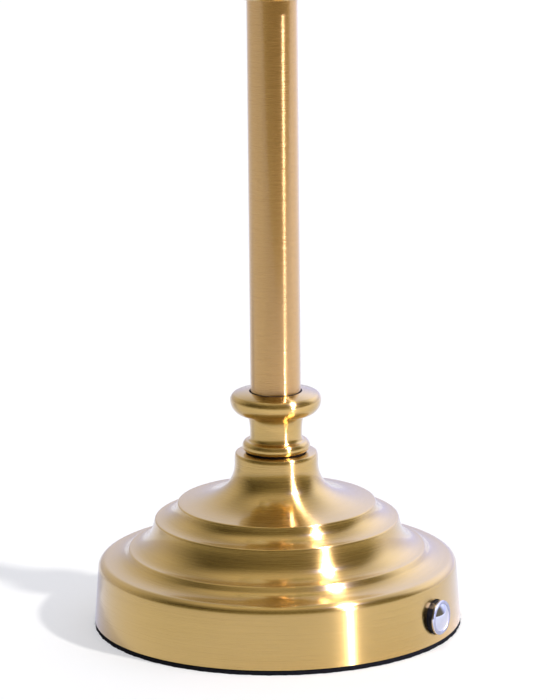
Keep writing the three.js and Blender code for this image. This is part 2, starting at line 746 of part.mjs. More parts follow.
// Post under the board, tapped for its screw.
function boardPost() {
  const hole = SCREW_SHANK_RADIUS + FIT / 2;
  return tube(POST_RADIUS, hole, BOARD_RAISE - 2 * SEAT, SMALL);
}

function panScrew(length) {
  return turned(
    [
      point(0, -length),
      point(SCREW_SHANK_RADIUS, -length),
      point(SCREW_SHANK_RADIUS, 0),
      point(SCREW_HEAD_RADIUS, 0),
      point(SCREW_HEAD_RADIUS * 0.7, SCREW_HEAD_HEIGHT),
      point(0, SCREW_HEAD_HEIGHT),
    ],
    TINY,
  );
}

// Assembly: base
const pillarPlaces = [-1, 1].map((side) => [side * PILLAR_OFFSET, 0]);
const bracketRow = -(switchFront + switchRear) / 2;
const bracketPlaces = [-1, 1].map((side) => [(side * (BRACKET_WIDTH + SWITCH_WIDTH)) / 4, bracketRow]);

add("foot_pad", bar(footRadius - PAD_INSET, PAD_THICKNESS - SEAT, WIDE), felt);
add("base_plate", basePlate([...pillarPlaces, ...bracketPlaces]), steel).position.z = PAD_THICKNESS;
add("base_shell", baseShell(), brass);
add("ballast", ballast(), castIron).position.z = ballastBottom;

pillarPlaces.forEach(([x, y], i) => {
  const side = ["left", "right"][i];
  const length = ballastBottom - plateTop - 2 * SEAT;
  add(`plate_pillar_${side}`, pillar(length), steel).position.set(x, y, plateTop + SEAT);
  add(`plate_screw_${side}`, countersunkScrew(PLATE_THICKNESS + SCREW_BITE), steel)
    .position.set(x, y, PAD_THICKNESS);
});

// Assembly: rod, spools and stem
add("tie_rod", tube(ROD_RADIUS, ROD_BORE_RADIUS, rodTop - rodBottom, SMALL), steel).position.z = rodBottom;
add("rod_washer_lower", tube(WASHER_RADIUS, rodHole, WASHER_THICKNESS, SMALL), steel)
  .position.z = lowerWasherBase;
add("rod_nut_lower", nut(), steel).position.z = lowerNutBase;
add("spool_lower", spool(), brass).position.z = lowerSpoolBase;
const stemLength = STEM_VISIBLE + 2 * (SOCKET_DEPTH - FIT);
add("stem_tube", tube(STEM_RADIUS, STEM_RADIUS - STEM_WALL, stemLength, MEDIUM), brass)
  .position.z = stemFrom - SOCKET_DEPTH + FIT;
const upperSpool = add("spool_upper", spool(), brass);
upperSpool.rotation.x = Math.PI;
upperSpool.position.z = upperSpoolBase + spoolHeight;

// Assembly: lamp head
add("lamp_cup", lampCup(), brass).position.z = cupBase;
add("rod_washer_upper", tube(WASHER_RADIUS, rodHole, WASHER_THICKNESS, SMALL), steel)
  .position.z = upperWasherBase;
add("rod_nut_upper", nut(), steel).position.z = upperNutBase;
add("heat_sink", tube(sinkRadius, LAMP_LEAD_RADIUS + 2 * FIT, SINK_PLATE, MEDIUM), aluminium)
  .position.z = sinkBase;
add("light_board", tube(lightBoardRadius, LAMP_LEAD_RADIUS + FIT, LIGHT_BOARD_THICKNESS, SMALL), boardGreen)
  .position.z = sinkTop + SEAT;
add("light_chip", bar(LIGHT_CHIP_RADIUS, LIGHT_CHIP_THICKNESS, SMALL), lightYellow)
  .position.z = sinkTop + LIGHT_BOARD_THICKNESS + 2 * SEAT;
add("diffuser", diffuser(), opal).position.z = sinkTop + SEAT;

// Assembly: shade, which lifts off as one
const shade = new THREE.Group();
shade.position.z = shadeBottom;
lamp.add(shade);
const hubBore = diffuserRadius + HUB_CLEARANCE;
const hubOuter = hubBore + HUB_WIDTH;
add("shade_hub", tube(hubOuter, hubBore, HUB_THICKNESS, MEDIUM), whiteWire, shade)
  .position.z = -SHADE_RAISE;
add("shade_cover", shadeCover(), linen, shade);
add("hem_tape_lower", hemTape(0, TAPE_HEIGHT), linen, shade);
add("hem_tape_upper", hemTape(SHADE_HEIGHT - TAPE_HEIGHT, SHADE_HEIGHT), linen, shade);
add("shade_ring_lower", wireRing(ringRadius(RING_INSET)), whiteWire, shade).position.z = RING_INSET;
const upperRingHeight = SHADE_HEIGHT - RING_INSET;
add("shade_ring_upper", wireRing(ringRadius(upperRingHeight)), whiteWire, shade)
  .position.z = upperRingHeight;
for (let i = 0; i < ARM_COUNT; i += 1) {
  const from = hubOuter + FIT;
  const to = ringRadius(RING_INSET) - WIRE_RADIUS - FIT;
  const hubLevel = HUB_THICKNESS / 2 - SHADE_RAISE;
  const route = [
    [from, 0, hubLevel],
    [from + ARM_LEVEL, 0, hubLevel],
    [to - ARM_LEVEL, 0, RING_INSET],
    [to, 0, RING_INSET],
  ];
  const rod = add(`shade_arm_${i + 1}`, lead(route, WIRE_RADIUS, 9), whiteWire, shade);
  rod.rotation.z = Math.PI / 2 + (i / ARM_COUNT) * 2 * Math.PI;
}

// Assembly: push button and switch, in a group whose +Z points out of the base towards -Y
const button = new THREE.Group();
button.rotation.x = Math.PI / 2;
button.position.z = BUTTON_HEIGHT;
lamp.add(button);
add("button_cap", buttonCap(), chrome, button).position.z = capBack;
add("button_plunger", plunger(), blackPlastic, button).position.z = skirtRear;
add("switch_body", switchBody(), blackPlastic, button).position.z = switchFront;
[-1, 1].forEach((side, i) => {
  const tab = new THREE.BoxGeometry(TERMINAL_LENGTH, 2.4, 0.5);
  const reach = SWITCH_WIDTH / 2 + SEAT + TERMINAL_LENGTH / 2;
  add(`switch_terminal_${["left", "right"][i]}`, tab, nickel, button)
    .position.set(side * reach, 0, switchRear + SWITCH_DEPTH / 4);
});
add("switch_bracket", switchBracket(bracketPlaces), steel).position.z = plateTop + SEAT;
bracketPlaces.forEach(([x, y], i) => {
  add(`bracket_screw_${["left", "right"][i]}`,
    countersunkScrew(PLATE_THICKNESS + BRACKET_THICKNESS + 2), steel).position.set(x, y, PAD_THICKNESS);
});

// Assembly: cells
[["front", -1], ["rear", 1]].forEach(([place, side]) => {
  add(`cradle_${place}`, cradle(), blackPlastic).position.set(0, side * cellOffset, plateTop + SEAT);
  add(`cell_${place}`, cell(), cellWrap).position.set(0, side * cellOffset, cellAxis);
});
const linkReach = { negative: -CELL_LENGTH / 2, positive: CELL_LENGTH / 2 + CELL_CAP_HEIGHT };
Object.entries(linkReach).forEach(([pole, end]) => {
  const strip = new THREE.BoxGeometry(LINK_THICKNESS, 2 * cellOffset + CELL_RADIUS, LINK_HEIGHT);
  const gap = Math.sign(end) * (SEAT + LINK_THICKNESS / 2);
  add(`cell_link_${pole}`, strip, nickel).position.set(end + gap, 0, cellAxis);
});

// Assembly: charging and driver board
const boardMiddle = (boardFront + boardRear) / 2;
add("charge_board", chargeBoard(), boardGreen).position.set(0, boardMiddle, boardBottom);
[-1, 1].forEach((side, i) => {
  const name = ["left", "right"][i];
  add(`board_post_${name}`, boardPost(), nickel).position.set(side * POST_OFFSET, postRow, plateTop + SEAT);
  add(`board_screw_${name}`, panScrew(BOARD_THICKNESS + BOARD_RAISE / 2), steel)
    .position.set(side * POST_OFFSET, postRow, boardTop + SEAT);
});
add("usb_socket", usbSocket(), steel).position.set(0, socketFront - SOCKET_LENGTH, socketAxis);
add("usb_tongue", usbTongue(), blackPlastic).position.set(0, socketFront - SOCKET_LENGTH + FIT, socketAxis);
add("lead_header", box(HEADER_WIDTH, HEADER_DEPTH, HEADER_TALL), opal)
  .position.set(0, postRow, boardTop + SEAT);
add("driver_chip", box(CHIP_SIDE, CHIP_SIDE, CHIP_TALL), blackPlastic)
  .position.set(sidePlace, boardFront - FIT - CHIP_SIDE / 2, boardTop + SEAT);
add("charge_coil", box(COIL_SIDE, COIL_SIDE, COIL_TALL), castIron)
  .position.set(-sidePlace, boardFront - FIT - COIL_SIDE / 2, boardTop + SEAT);

// Leads, each laid by hand from one terminal to the next
const headerTop = boardTop + SEAT + HEADER_TALL;
const headerSide = HEADER_WIDTH / 2 + FIT;
const headerLow = boardTop + 0.42 * HEADER_TALL;
const headerHigh = boardTop + 0.76 * HEADER_TALL;
const terminalEnd = SWITCH_WIDTH / 2 + SEAT + TERMINAL_LENGTH + FIT;
const terminalRow = -(switchRear + SWITCH_DEPTH / 4);
const lampLead = [
  [0, postRow, headerTop + FIT],
  [0, postRow - 0.4, headerTop + 4],
  [0, 36, 24],
  [0, 28, 25.6],
  [0, 20, 25.3],
  [0, 14, 21.2],
  [0, 10, 13.4],
  [0, 4.5, 10.4],
  [0, 0.8, 12.6],
  [0, 0, 17],
  [0, 0, 60],
  [0, 0, sinkBase - 20],
  [0, 0, sinkTop - FIT],
];
add("lamp_lead", lead(lampLead, LAMP_LEAD_RADIUS, 32), leadJacket);
const switchLead = [
  [terminalEnd, terminalRow, BUTTON_HEIGHT],
  [15, terminalRow, 11],
  [28, -42, 8],
  [40, -34, 7],
  [47, -18, 7],
  [49, 0, 7],
  [46, 20, 7.6],
  [37, 34, 9.6],
  [26, 41.5, headerLow],
  [15, postRow, headerLow],
  [headerSide, postRow, headerLow],
];
add("switch_lead", lead(switchLead, THIN_LEAD_RADIUS, 28), blackJacket);
// From the outer face of a link, round the end of the rear cell, to the header.
function batteryLead(side, linkFace, height) {
  return [
    [linkFace + side * FIT, cellOffset, cellAxis],
    [linkFace + side * 2.4, cellOffset + 0.6, cellAxis],
    [linkFace + side * 4, cellOffset + 4, cellAxis + 0.4],
    [side * 33.4, 37, height],
    [side * 24, 41.6, height],
    [side * 15, postRow, height],
    [side * headerSide, postRow, height],
  ];
}
const negativeFace = linkReach.negative - SEAT - LINK_THICKNESS;
const positiveFace = linkReach.positive + SEAT + LINK_THICKNESS;
const negativeLead = batteryLead(-1, negativeFace, headerLow);
const positiveLead = batteryLead(1, positiveFace, headerHigh);
add("battery_lead_negative", lead(negativeLead, THIN_LEAD_RADIUS, 16), blackJacket);
add("battery_lead_positive", lead(positiveLead, THIN_LEAD_RADIUS, 16), redJacket);

export default lamp;
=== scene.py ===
# Cordless table lamp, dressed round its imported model: metres, +Z up, the push button towards -Y and the
# charging socket towards +Y. Sizes of pieces are written in millimetres and scaled by MM.
import math

import bmesh
import bpy
from mathutils import Matrix, Vector


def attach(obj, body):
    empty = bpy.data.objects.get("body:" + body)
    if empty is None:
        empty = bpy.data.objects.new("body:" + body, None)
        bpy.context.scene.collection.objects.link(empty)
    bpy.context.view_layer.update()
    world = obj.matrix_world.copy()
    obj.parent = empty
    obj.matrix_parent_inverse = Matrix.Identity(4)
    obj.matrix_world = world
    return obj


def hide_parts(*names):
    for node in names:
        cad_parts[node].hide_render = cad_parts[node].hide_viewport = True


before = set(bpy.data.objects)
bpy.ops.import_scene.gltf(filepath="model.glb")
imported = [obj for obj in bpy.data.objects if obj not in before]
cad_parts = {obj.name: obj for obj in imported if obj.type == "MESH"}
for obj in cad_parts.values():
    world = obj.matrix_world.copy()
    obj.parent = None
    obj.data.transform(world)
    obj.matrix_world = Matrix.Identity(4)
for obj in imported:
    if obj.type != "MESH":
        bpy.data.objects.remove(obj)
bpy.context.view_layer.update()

# Foot pad
# A disc of black felt under the base, cut from sheet and glued to the steel plate. Its cut edge is a
# little uneven and sheds short fibres.
MM = 0.001
SHARP_EDGE = math.radians(32)
PAD_RADIUS = 58.5
PAD_TOP = 1.3
PAD_LOW_EDGE = 0.15
PAD_TOP_EDGE = 0.2
PAD_ROW = 0.25
PAD_FACETS = 360
# Waves round the ragged edge: how many, where they start, and how far they shift with each metre of height.
PAD_WAVES = ((37, 0.0, 0.0), (83, 1.7, 0.0), (151, 0.0, 900.0))
PAD_RAGGED = 0.0015
FELT_TONES = ((0.002, 0.002, 0.003), (0.012, 0.012, 0.014))
DULL = {"Specular IOR Level": 0.15}


def add_object(name, data):
    """A new object in the scene, at the origin."""
    made = bpy.data.objects.new(name, data)
    bpy.context.scene.collection.objects.link(made)
    return made


def show(name, mesh, material):
    """A mesh as a smooth piece with one finish."""
    mesh.materials.append(material)
    mesh.shade_smooth()
    mesh.set_sharp_from_angle(angle=SHARP_EDGE)
    return add_object(name, mesh)


def skin(name, rings, ends):
    """A mesh over rings of points in mm, each joined to the next. Its ends are joined, capped or on_axis."""
    shape = bmesh.new()
    loops = [[shape.verts.new([part * MM for part in point]) for point in ring] for ring in rings]
    followers = loops[1:] + loops[:1] if ends == "joined" else loops[1:]
    for low, high in zip(loops, followers):
        for k in range(max(len(low), len(high))):
            after = k + 1
            corners = [low[k % len(low)], low[after % len(low)], high[after % len(high)], high[k % len(high)]]
            shape.faces.new(list(dict.fromkeys(corners)))
    if ends == "capped":
        shape.faces.new(loops[0])
        shape.faces.new(loops[-1][::-1])
        bmesh.ops.recalc_face_normals(shape, faces=shape.faces)
    mesh = bpy.data.meshes.new(name)
    shape.to_mesh(mesh)
    shape.free()
    return mesh


def turn(name, profile, facets, ends="joined"):
    """A mesh turned about +Z from (radius, height) points in mm that run up outside and down inside."""
    angles = [2 * math.pi * k / facets for k in range(facets)]
    rings = []
    for radius, height in profile:
        spokes = angles if radius > 1e-6 else [0.0]
        rings.append([(radius * math.cos(a), radius * math.sin(a), height) for a in spokes])
    return skin(name, rings, ends)


def arc(centre, width, rise, start, end, pieces):
    """Points along an ellipse about a centre, between two angles in quarter turns."""
    angles = [(start + (end - start) * k / pieces) * math.pi / 2 for k in range(pieces + 1)]
    return [(centre[0] + width * math.cos(a), centre[1] + rise * math.sin(a)) for a in angles]


def start_finish(name, colour, roughness, metallic=0.0, more=None):
    """A new material and its shader, with the values that are the same all over."""
    material = bpy.data.materials.new(name)
    material.use_nodes = True
    shader = material.node_tree.nodes["Principled BSDF"]
    values = {"Base Color": (*colour, 1.0), "Roughness": roughness, "Metallic": metallic, **(more or {})}
    for socket, value in values.items():
        shader.inputs[socket].default_value = value
    return material, shader


def node(tree, kind, inputs=None, **settings):
    """A node with its settings. Inputs are given by name or number, as values or as outputs to link."""
    made = tree.nodes.new(kind)
    for key, value in settings.items():
        setattr(made, key, value)
    for key, value in (inputs or {}).items():
        if isinstance(value, bpy.types.NodeSocket):
            tree.links.new(value, made.inputs[key])
        else:
            made.inputs[key].default_value = value
    return made


def tint(tree, shader, value, tones, stops=(0.3, 0.7)):
    """Colours a finish by a value: the dark tone at the first stop, the pale one at the second."""
    ramp = node(tree, "ShaderNodeValToRGB", {"Fac": value})
    for element, tone, stop in zip(ramp.color_ramp.elements, tones, stops):
        element.position = stop
        element.color = (*tone, 1.0)
    tree.links.new(ramp.outputs["Color"], shader.inputs["Base Color"])


def emboss(tree, shader, height, distance, strength=1.0):
    """Raises a finish by a value, over a distance in metres."""
    relief = node(tree, "ShaderNodeBump", {"Height": height, "Distance": distance, "Strength": strength})
    tree.links.new(relief.outputs["Normal"], shader.inputs["Normal"])


def mottled(name, tones, roughness, scale, bump, metallic=0.0, stretch=(1.0, 1.0, 1.0), more=None):
    """A finish with noise on Object coordinates, which shifts it between two tones and raises a fine bump."""
    material, shader = start_finish(name, tones[1], roughness, metallic, more)
    tree = material.node_tree
    place = node(tree, "ShaderNodeTexCoord").outputs["Object"]
    stretched = node(tree, "ShaderNodeMapping", {"Vector": place, "Scale": stretch}).outputs["Vector"]
    noise = node(tree, "ShaderNodeTexNoise", {"Vector": stretched, "Scale": scale, "Detail": 4.0})
    tint(tree, shader, noise.outputs["Fac"], tones)
    emboss(tree, shader, noise.outputs["Fac"], bump)
    return material


felt = mottled("black_felt", FELT_TONES, roughness=1.0, scale=2600.0, bump=0.0004, more=DULL)
pad_mesh = turn("foot_felt", [
    (0.0, 0.0),
    *arc((PAD_RADIUS - PAD_LOW_EDGE, PAD_LOW_EDGE), PAD_LOW_EDGE, PAD_LOW_EDGE, -1, 0, 3),
    *[(PAD_RADIUS, PAD_LOW_EDGE + PAD_ROW * k) for k in range(1, 4)],
    *arc((PAD_RADIUS - PAD_TOP_EDGE, PAD_TOP - PAD_TOP_EDGE), PAD_TOP_EDGE, PAD_TOP_EDGE, 0, 1, 3),
    (0.0, PAD_TOP),
], PAD_FACETS, ends="on_axis")
# Only the edge is ragged.
for vertex in pad_mesh.vertices:
    angle = math.atan2(vertex.co.y, vertex.co.x)
    ragged = sum(math.sin(count * angle + phase + shift * vertex.co.z) for count, phase, shift in PAD_WAVES)
    if math.hypot(vertex.co.x, vertex.co.y) > 0.9 * PAD_RADIUS * MM:
        vertex.co.x *= 1 + PAD_RAGGED * ragged
        vertex.co.y *= 1 + PAD_RAGGED * ragged
foot_felt = show("foot_felt", pad_mesh, felt)
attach(foot_felt, "lamp")
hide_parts("foot_pad")

# Fibres stand out of the felt's cut edge at random heights and slants: each is a thin cone whose root lies
# a little way inside the edge.
FIBRE_COUNT = 900
FIBRE_LENGTH = 0.9
FIBRE_SHARES = (0.35, 1.0)
FIBRE_ROOT_RADIUS = 0.04
FIBRE_TIP_RADIUS = 0.01
FIBRE_DEPTH = 0.15
FIBRE_STRAY = 0.01
FIBRE_LEVELS = (0.25, 0.95)
FIBRE_SLANT = 0.9
FIBRE_LIFT = (0.05, 0.5)


def keep_result(name, holder, material, spent=()):
    """Keeps what a holder's modifiers make as a plain piece, and removes the holder and what they used."""
    evaluated = holder.evaluated_get(bpy.context.evaluated_depsgraph_get())
    mesh = bpy.data.meshes.new_from_object(evaluated)
    for used in (holder, *spent):
        bpy.data.objects.remove(used)
    mesh.materials.clear()
    return show(name, mesh, material)


def grow(name, tree, values, material):
    """Runs a geometry tree with the given named inputs."""
    holder = add_object(name, bpy.data.meshes.new(name))
    modifier = holder.modifiers.new(name, "NODES")
    modifier.node_group = tree
    for socket in tree.interface.items_tree:
        if socket.name in values:
            modifier[socket.identifier] = values[socket.name]
    return keep_result(name, holder, material)


def start_tree(name, inputs):
    """A geometry tree with named inputs and one geometry output, the inputs' values and the output node."""
    tree = bpy.data.node_groups.new(name, "GeometryNodeTree")
    tree.interface.new_socket("Geometry", in_out="OUTPUT", socket_type="NodeSocketGeometry")
    for key, kind in inputs.items():
        tree.interface.new_socket(key, in_out="INPUT", socket_type=kind)
    return tree, tree.nodes.new("NodeGroupInput").outputs, tree.nodes.new("NodeGroupOutput")


def end_tree(tree, last, geometry, material):
    """Closes a geometry tree with Realize Instances and Set Material."""
    real = node(tree, "GeometryNodeRealizeInstances", {"Geometry": geometry})
    dressed = node(tree, "GeometryNodeSetMaterial", {"Geometry": real.outputs[0], "Material": material})
    tree.links.new(dressed.outputs[0], last.inputs[0])


def math_node(tree, operation, first, second=0.0):
    """The result of a sum on one or two numbers."""
    return node(tree, "ShaderNodeMath", {0: first, 1: second}, operation=operation).outputs[0]


def point_node(tree, x=0.0, y=0.0, z=0.0):
    """A vector of three numbers."""
    return node(tree, "ShaderNodeCombineXYZ", {"X": x, "Y": y, "Z": z}).outputs[0]


def chance(tree, low, high, seed):
    """A random number for each point, always the same for one seed."""
    limits = {"Min": low, "Max": high, "Seed": seed}
    return node(tree, "FunctionNodeRandomValue", limits, data_type="FLOAT").outputs[1]


def bearing_round(tree, count, start):
    """Each point's bearing when a count of them is spread evenly round the axis, from a start angle."""
    share = math_node(tree, "DIVIDE", node(tree, "GeometryNodeInputIndex").outputs[0], count)
    return math_node(tree, "ADD", math_node(tree, "MULTIPLY", share, 2 * math.pi), start)


fibre_tree, given, last = start_tree("felt_fibres", {
    "Count": "NodeSocketInt", "Radius": "NodeSocketFloat",
    "Height": "NodeSocketFloat", "Length": "NodeSocketFloat",
})
fibre_bearing = bearing_round(
    fibre_tree, given["Count"], chance(fibre_tree, -FIBRE_STRAY, FIBRE_STRAY, seed=3))
east = math_node(fibre_tree, "COSINE", fibre_bearing)
north = math_node(fibre_tree, "SINE", fibre_bearing)
fibre_root = point_node(
    fibre_tree,
    math_node(fibre_tree, "MULTIPLY", east, given["Radius"]),
    math_node(fibre_tree, "MULTIPLY", north, given["Radius"]),
    math_node(fibre_tree, "MULTIPLY", given["Height"], chance(fibre_tree, *FIBRE_LEVELS, seed=5)))
fibre_roots = node(fibre_tree, "GeometryNodePoints", {
    "Count": given["Count"], "Position": fibre_root,
})
fibre_lean = point_node(
    fibre_tree,
    math_node(fibre_tree, "ADD", east, chance(fibre_tree, -FIBRE_SLANT, FIBRE_SLANT, seed=7)),
    math_node(fibre_tree, "ADD", north, chance(fibre_tree, -FIBRE_SLANT, FIBRE_SLANT, seed=8)),
    chance(fibre_tree, *FIBRE_LIFT, seed=9))
fibre_turn = node(fibre_tree, "FunctionNodeAlignRotationToVector", {"Vector": fibre_lean}, axis="Z")
fibre = node(fibre_tree, "GeometryNodeMeshCone", {
    "Vertices": 3, "Depth": given["Length"],
    "Radius Top": FIBRE_TIP_RADIUS * MM, "Radius Bottom": FIBRE_ROOT_RADIUS * MM,
})
fibres = node(fibre_tree, "GeometryNodeInstanceOnPoints", {
    "Points": fibre_roots.outputs[0],
    "Instance": fibre.outputs["Mesh"],
    "Rotation": fibre_turn.outputs[0],
    "Scale": chance(fibre_tree, *FIBRE_SHARES, seed=11),
})
end_tree(fibre_tree, last, fibres.outputs[0], felt)
felt_fibres = grow("felt_fibres", fibre_tree, {
    "Count": FIBRE_COUNT,
    "Radius": (PAD_RADIUS - FIBRE_DEPTH) * MM,
    "Height": PAD_TOP * MM,
    "Length": FIBRE_LENGTH * MM,
}, felt)
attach(felt_fibres, "lamp")

# Steel inside the base
# The plate that closes the base, its pillars and screws, the switch bracket and the rod are zinc-plated
# mild steel, pressed or turned, with a bluish grey grain.
ZINC_TONES = ((0.36, 0.37, 0.39), (0.50, 0.51, 0.52))


def dress(material, *names):
    """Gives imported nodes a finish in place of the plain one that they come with."""
    for name in names:
        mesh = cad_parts[name].data
        mesh.materials.clear()
        mesh.materials.append(material)


zinc = mottled("zinc_plated_steel", ZINC_TONES, roughness=0.38, metallic=1.0, scale=220.0, bump=0.00002)
dress(zinc, "base_plate", "plate_pillar_left", "plate_pillar_right", "plate_screw_left", "plate_screw_right",
      "switch_bracket", "bracket_screw_left", "bracket_screw_right", "board_screw_left", "board_screw_right",
      "tie_rod", "rod_washer_lower", "rod_nut_lower", "rod_washer_upper", "rod_nut_upper", "usb_socket")

# Ballast and choke
# A cast-iron ring clamped under the upper step keeps the lamp steady; the choke on the board is dark
# sintered ferrite. Both are left rough.
IRON_TONES = ((0.020, 0.020, 0.022), (0.060, 0.060, 0.062))
iron = mottled("cast_iron", IRON_TONES, roughness=0.78, metallic=0.7, scale=900.0, bump=0.0002)
dress(iron, "ballast", "charge_coil")

# Cells, cradles and links
# Two rechargeable cells in blue shrink sleeve snap into black moulded cradles, and nickel strips are
# spot-welded across their ends. The posts and switch terminals are nickel plated too.
SLEEVE_TONES = ((0.020, 0.075, 0.170), (0.032, 0.115, 0.235))
SLEEVE_STRETCH = (0.2, 1.0, 1.0)
MOULD_TONES = ((0.007, 0.007, 0.008), (0.014, 0.014, 0.015))
NICKEL_TONES = ((0.45, 0.43, 0.38), (0.60, 0.58, 0.53))
sleeve = mottled("cell_sleeve", SLEEVE_TONES, roughness=0.3, scale=90.0, bump=0.00003, stretch=SLEEVE_STRETCH)
dress(sleeve, "cell_front", "cell_rear")
moulded = mottled("black_moulding", MOULD_TONES, roughness=0.52, scale=1500.0, bump=0.00003)
dress(moulded, "cradle_front", "cradle_rear", "switch_body", "usb_tongue", "driver_chip")
nickel = mottled("nickel_plate", NICKEL_TONES, roughness=0.3, metallic=1.0, scale=260.0, bump=0.00001)
dress(nickel, "cell_link_negative", "cell_link_positive", "switch_terminal_left", "switch_terminal_right",
      "board_post_left", "board_post_right")

# Circuit boards, header and leads
# Green glass-fibre boards carry the charger and the light; a white header takes the leads, which have
# soft jackets in pale grey, black and red.
RESIST_TONES = ((0.008, 0.060, 0.030), (0.016, 0.105, 0.055))
HEADER_TONES = ((0.68, 0.66, 0.60), (0.78, 0.76, 0.70))
JACKETS = {
    "pale": (((0.55, 0.53, 0.48), (0.68, 0.66, 0.60)), ["lamp_lead"]),
    "black": (((0.008, 0.008, 0.009), (0.018, 0.018, 0.020)), ["switch_lead", "battery_lead_negative"]),
    "red": (((0.240, 0.022, 0.018), (0.330, 0.034, 0.026)), ["battery_lead_positive"]),
}
resist = mottled("green_resist", RESIST_TONES, roughness=0.4, scale=700.0, bump=0.00002)
dress(resist, "charge_board", "light_board")
header = mottled("white_moulding", HEADER_TONES, roughness=0.5, scale=400.0, bump=0.00002)
dress(header, "lead_header")
for jacket_name, (jacket_tones, leads) in JACKETS.items():
    jacket = mottled(f"{jacket_name}_jacket", jacket_tones, roughness=0.55, scale=500.0, bump=0.00003)
    dress(jacket, *leads)

# Base shell
# Spun from one disc of brass: a straight band, three steps joined by coves, and a trumpet neck. It is
# brushed while it turns, so that fine hairlines run round it, and lacquered. The button's hole and the
# charging slot are cut afterwards.
SHELL_WALL = 1.0
FOOT = (58.6, 1.6)
# Lips from the band up to the neck: radius, height, rounding across and upwards, the wall's lean and the
# crown's tilt in degrees, and the straight stretch of wall under the rounding.
LIPS = [
    (57.30, 21.5, 2.6, 2.6, 4.25, 85, 0.0),
    (47.50, 25.2, 0.8, 0.8, 36, 85, 1.3),
    (39.05, 34.8, 0.6, 0.6, 11, 85, 0.0),
    (31.75, 40.0, 0.6, 0.6, 11, 85, 0.0),
    (13.30, 56.3, 0.6, 1.6, 0, 90, 1.8),
]
LIP_LEAN = 4
LIP_CROWN = 5
LIP_PIECES = 10
COVE_PIECES = 32
ROD_HOLE = 5.3
SHELL_FACETS = 256
BAND_ROWS = 24
BUTTON_LEVEL = 9.8
BUTTON_HOLE = 5.65
PORT_LEVEL = 11.85
PORT_SIZE = (10.6, 4.9)
CUT_NEAR = 40
CUT_FAR = 70
BRASS_TONES = ((0.565, 0.371, 0.085), (0.645, 0.427, 0.109))
BRASS_SCRATCHES = 0.575
LAND_ROUGHNESS = 0.19
SCRATCH_ROUGHNESS = 0.33
SCRATCH_EDGE = 0.06
LACQUER_ROUGHNESS = 0.12
# Lines in each metre across the brushing and the detail in them, for the hairlines and the fine scratches.
LINE_SETS = ((5200.0, 2.0), (61000.0, 1.0))
LINE_BREAKS = 1.3
CLOUD_SHARE = 0.3


def vector_node(tree, operation, first, second=(0.0, 0.0, 0.0)):
    """The result of a sum on one or two vectors: a number for a length or a dot product, or else a vector."""
    made = node(tree, "ShaderNodeVectorMath", {0: first, 1: second}, operation=operation)
    return made.outputs["Value" if operation in ("LENGTH", "DOT_PRODUCT") else "Vector"]


def blend_numbers(tree, share, first, second):
    """A number between two others, by a share from 0 to 1."""
    return node(tree, "ShaderNodeMix", {"Factor": share, 2: first, 3: second}, data_type="FLOAT").outputs[0]


def map_range(tree, value, start, end, first=0.0, last=1.0, kind="LINEAR"):
    """From first to last as a value goes from start to end."""
    return node(tree, "ShaderNodeMapRange", {
        "Value": value, "From Min": start, "From Max": end, "To Min": first, "To Max": last,
    }, interpolation_type=kind).outputs[0]


def brushed_brass(name, tones, scratch_level):
    """Brass brushed round its axis: smooth lands between rough hairlines, which draw a highlight out along
    the piece's profile. A lower scratch level gives more hairlines."""
    material, shader = start_finish(name, tones[1], LAND_ROUGHNESS, metallic=1.0, more={
        "Anisotropic": 1.0, "Anisotropic Rotation": 0.25,
        "Coat Weight": 1.0, "Coat Roughness": LACQUER_ROUGHNESS,
    })
    tree = material.node_tree
    place = node(tree, "ShaderNodeTexCoord").outputs["Object"]
    around = vector_node(tree, "CROSS_PRODUCT", (0.0, 0.0, 1.0), place)
    round_axis = vector_node(tree, "NORMALIZE", around)
    tree.links.new(round_axis, shader.inputs["Tangent"])

    # Hairlines change quickly with radius and height and slowly round the piece.
    radius = vector_node(tree, "LENGTH", around)
    height = node(tree, "ShaderNodeSeparateXYZ", {0: place}).outputs["Z"]
    bearing = node(tree, "ShaderNodeSeparateXYZ", {0: round_axis}).outputs
    lines = []
    for per_metre, detail in LINE_SETS:
        line_place = point_node(
            tree,
            math_node(tree, "MULTIPLY", bearing["X"], LINE_BREAKS),
            math_node(tree, "MULTIPLY", bearing["Y"], LINE_BREAKS),
            math_node(tree, "MULTIPLY", radius, per_metre))
        lines.append(node(tree, "ShaderNodeTexNoise", {
            "Vector": line_place, "W": math_node(tree, "MULTIPLY", height, per_metre),
            "Scale": 1.0, "Detail": detail, "Roughness": 0.65,
        }, noise_dimensions="4D").outputs["Fac"])
    hairlines, scratches = lines
    cloud = node(tree, "ShaderNodeTexNoise", {"Vector": place, "Scale": 26.0, "Detail": 3.0}).outputs["Fac"]
    tint(tree, shader, blend_numbers(tree, CLOUD_SHARE, hairlines, cloud), tones, stops=(0.25, 0.70))
    scratched = map_range(tree, scratches, scratch_level, scratch_level + SCRATCH_EDGE,
                          LAND_ROUGHNESS, SCRATCH_ROUGHNESS)
    tree.links.new(scratched, shader.inputs["Roughness"])
    emboss(tree, shader, hairlines, distance=0.000002, strength=0.5)
    return material


def downhill(tilt):
    """The direction down a wall whose outside is tilted up by an angle in degrees."""
    return math.sin(math.radians(tilt)), -math.cos(math.radians(tilt))


def step_lip(radius, height, edge, edge_height, lean, crown, straight):
    """A lip's points: the foot of its straight wall, then its rounding over to the crown."""
    centre_radius = radius - edge * math.cos(math.radians(lean))
    centre_height = height - edge_height * math.sin(math.radians(crown))
    rounding = arc((centre_radius, centre_height), edge, edge_height, lean / 90, crown / 90, LIP_PIECES)
    fall = downhill(lean)
    foot = (rounding[0][0] + fall[0] * straight, rounding[0][1] + fall[1] * straight)
    return [foot, *rounding] if straight else rounding


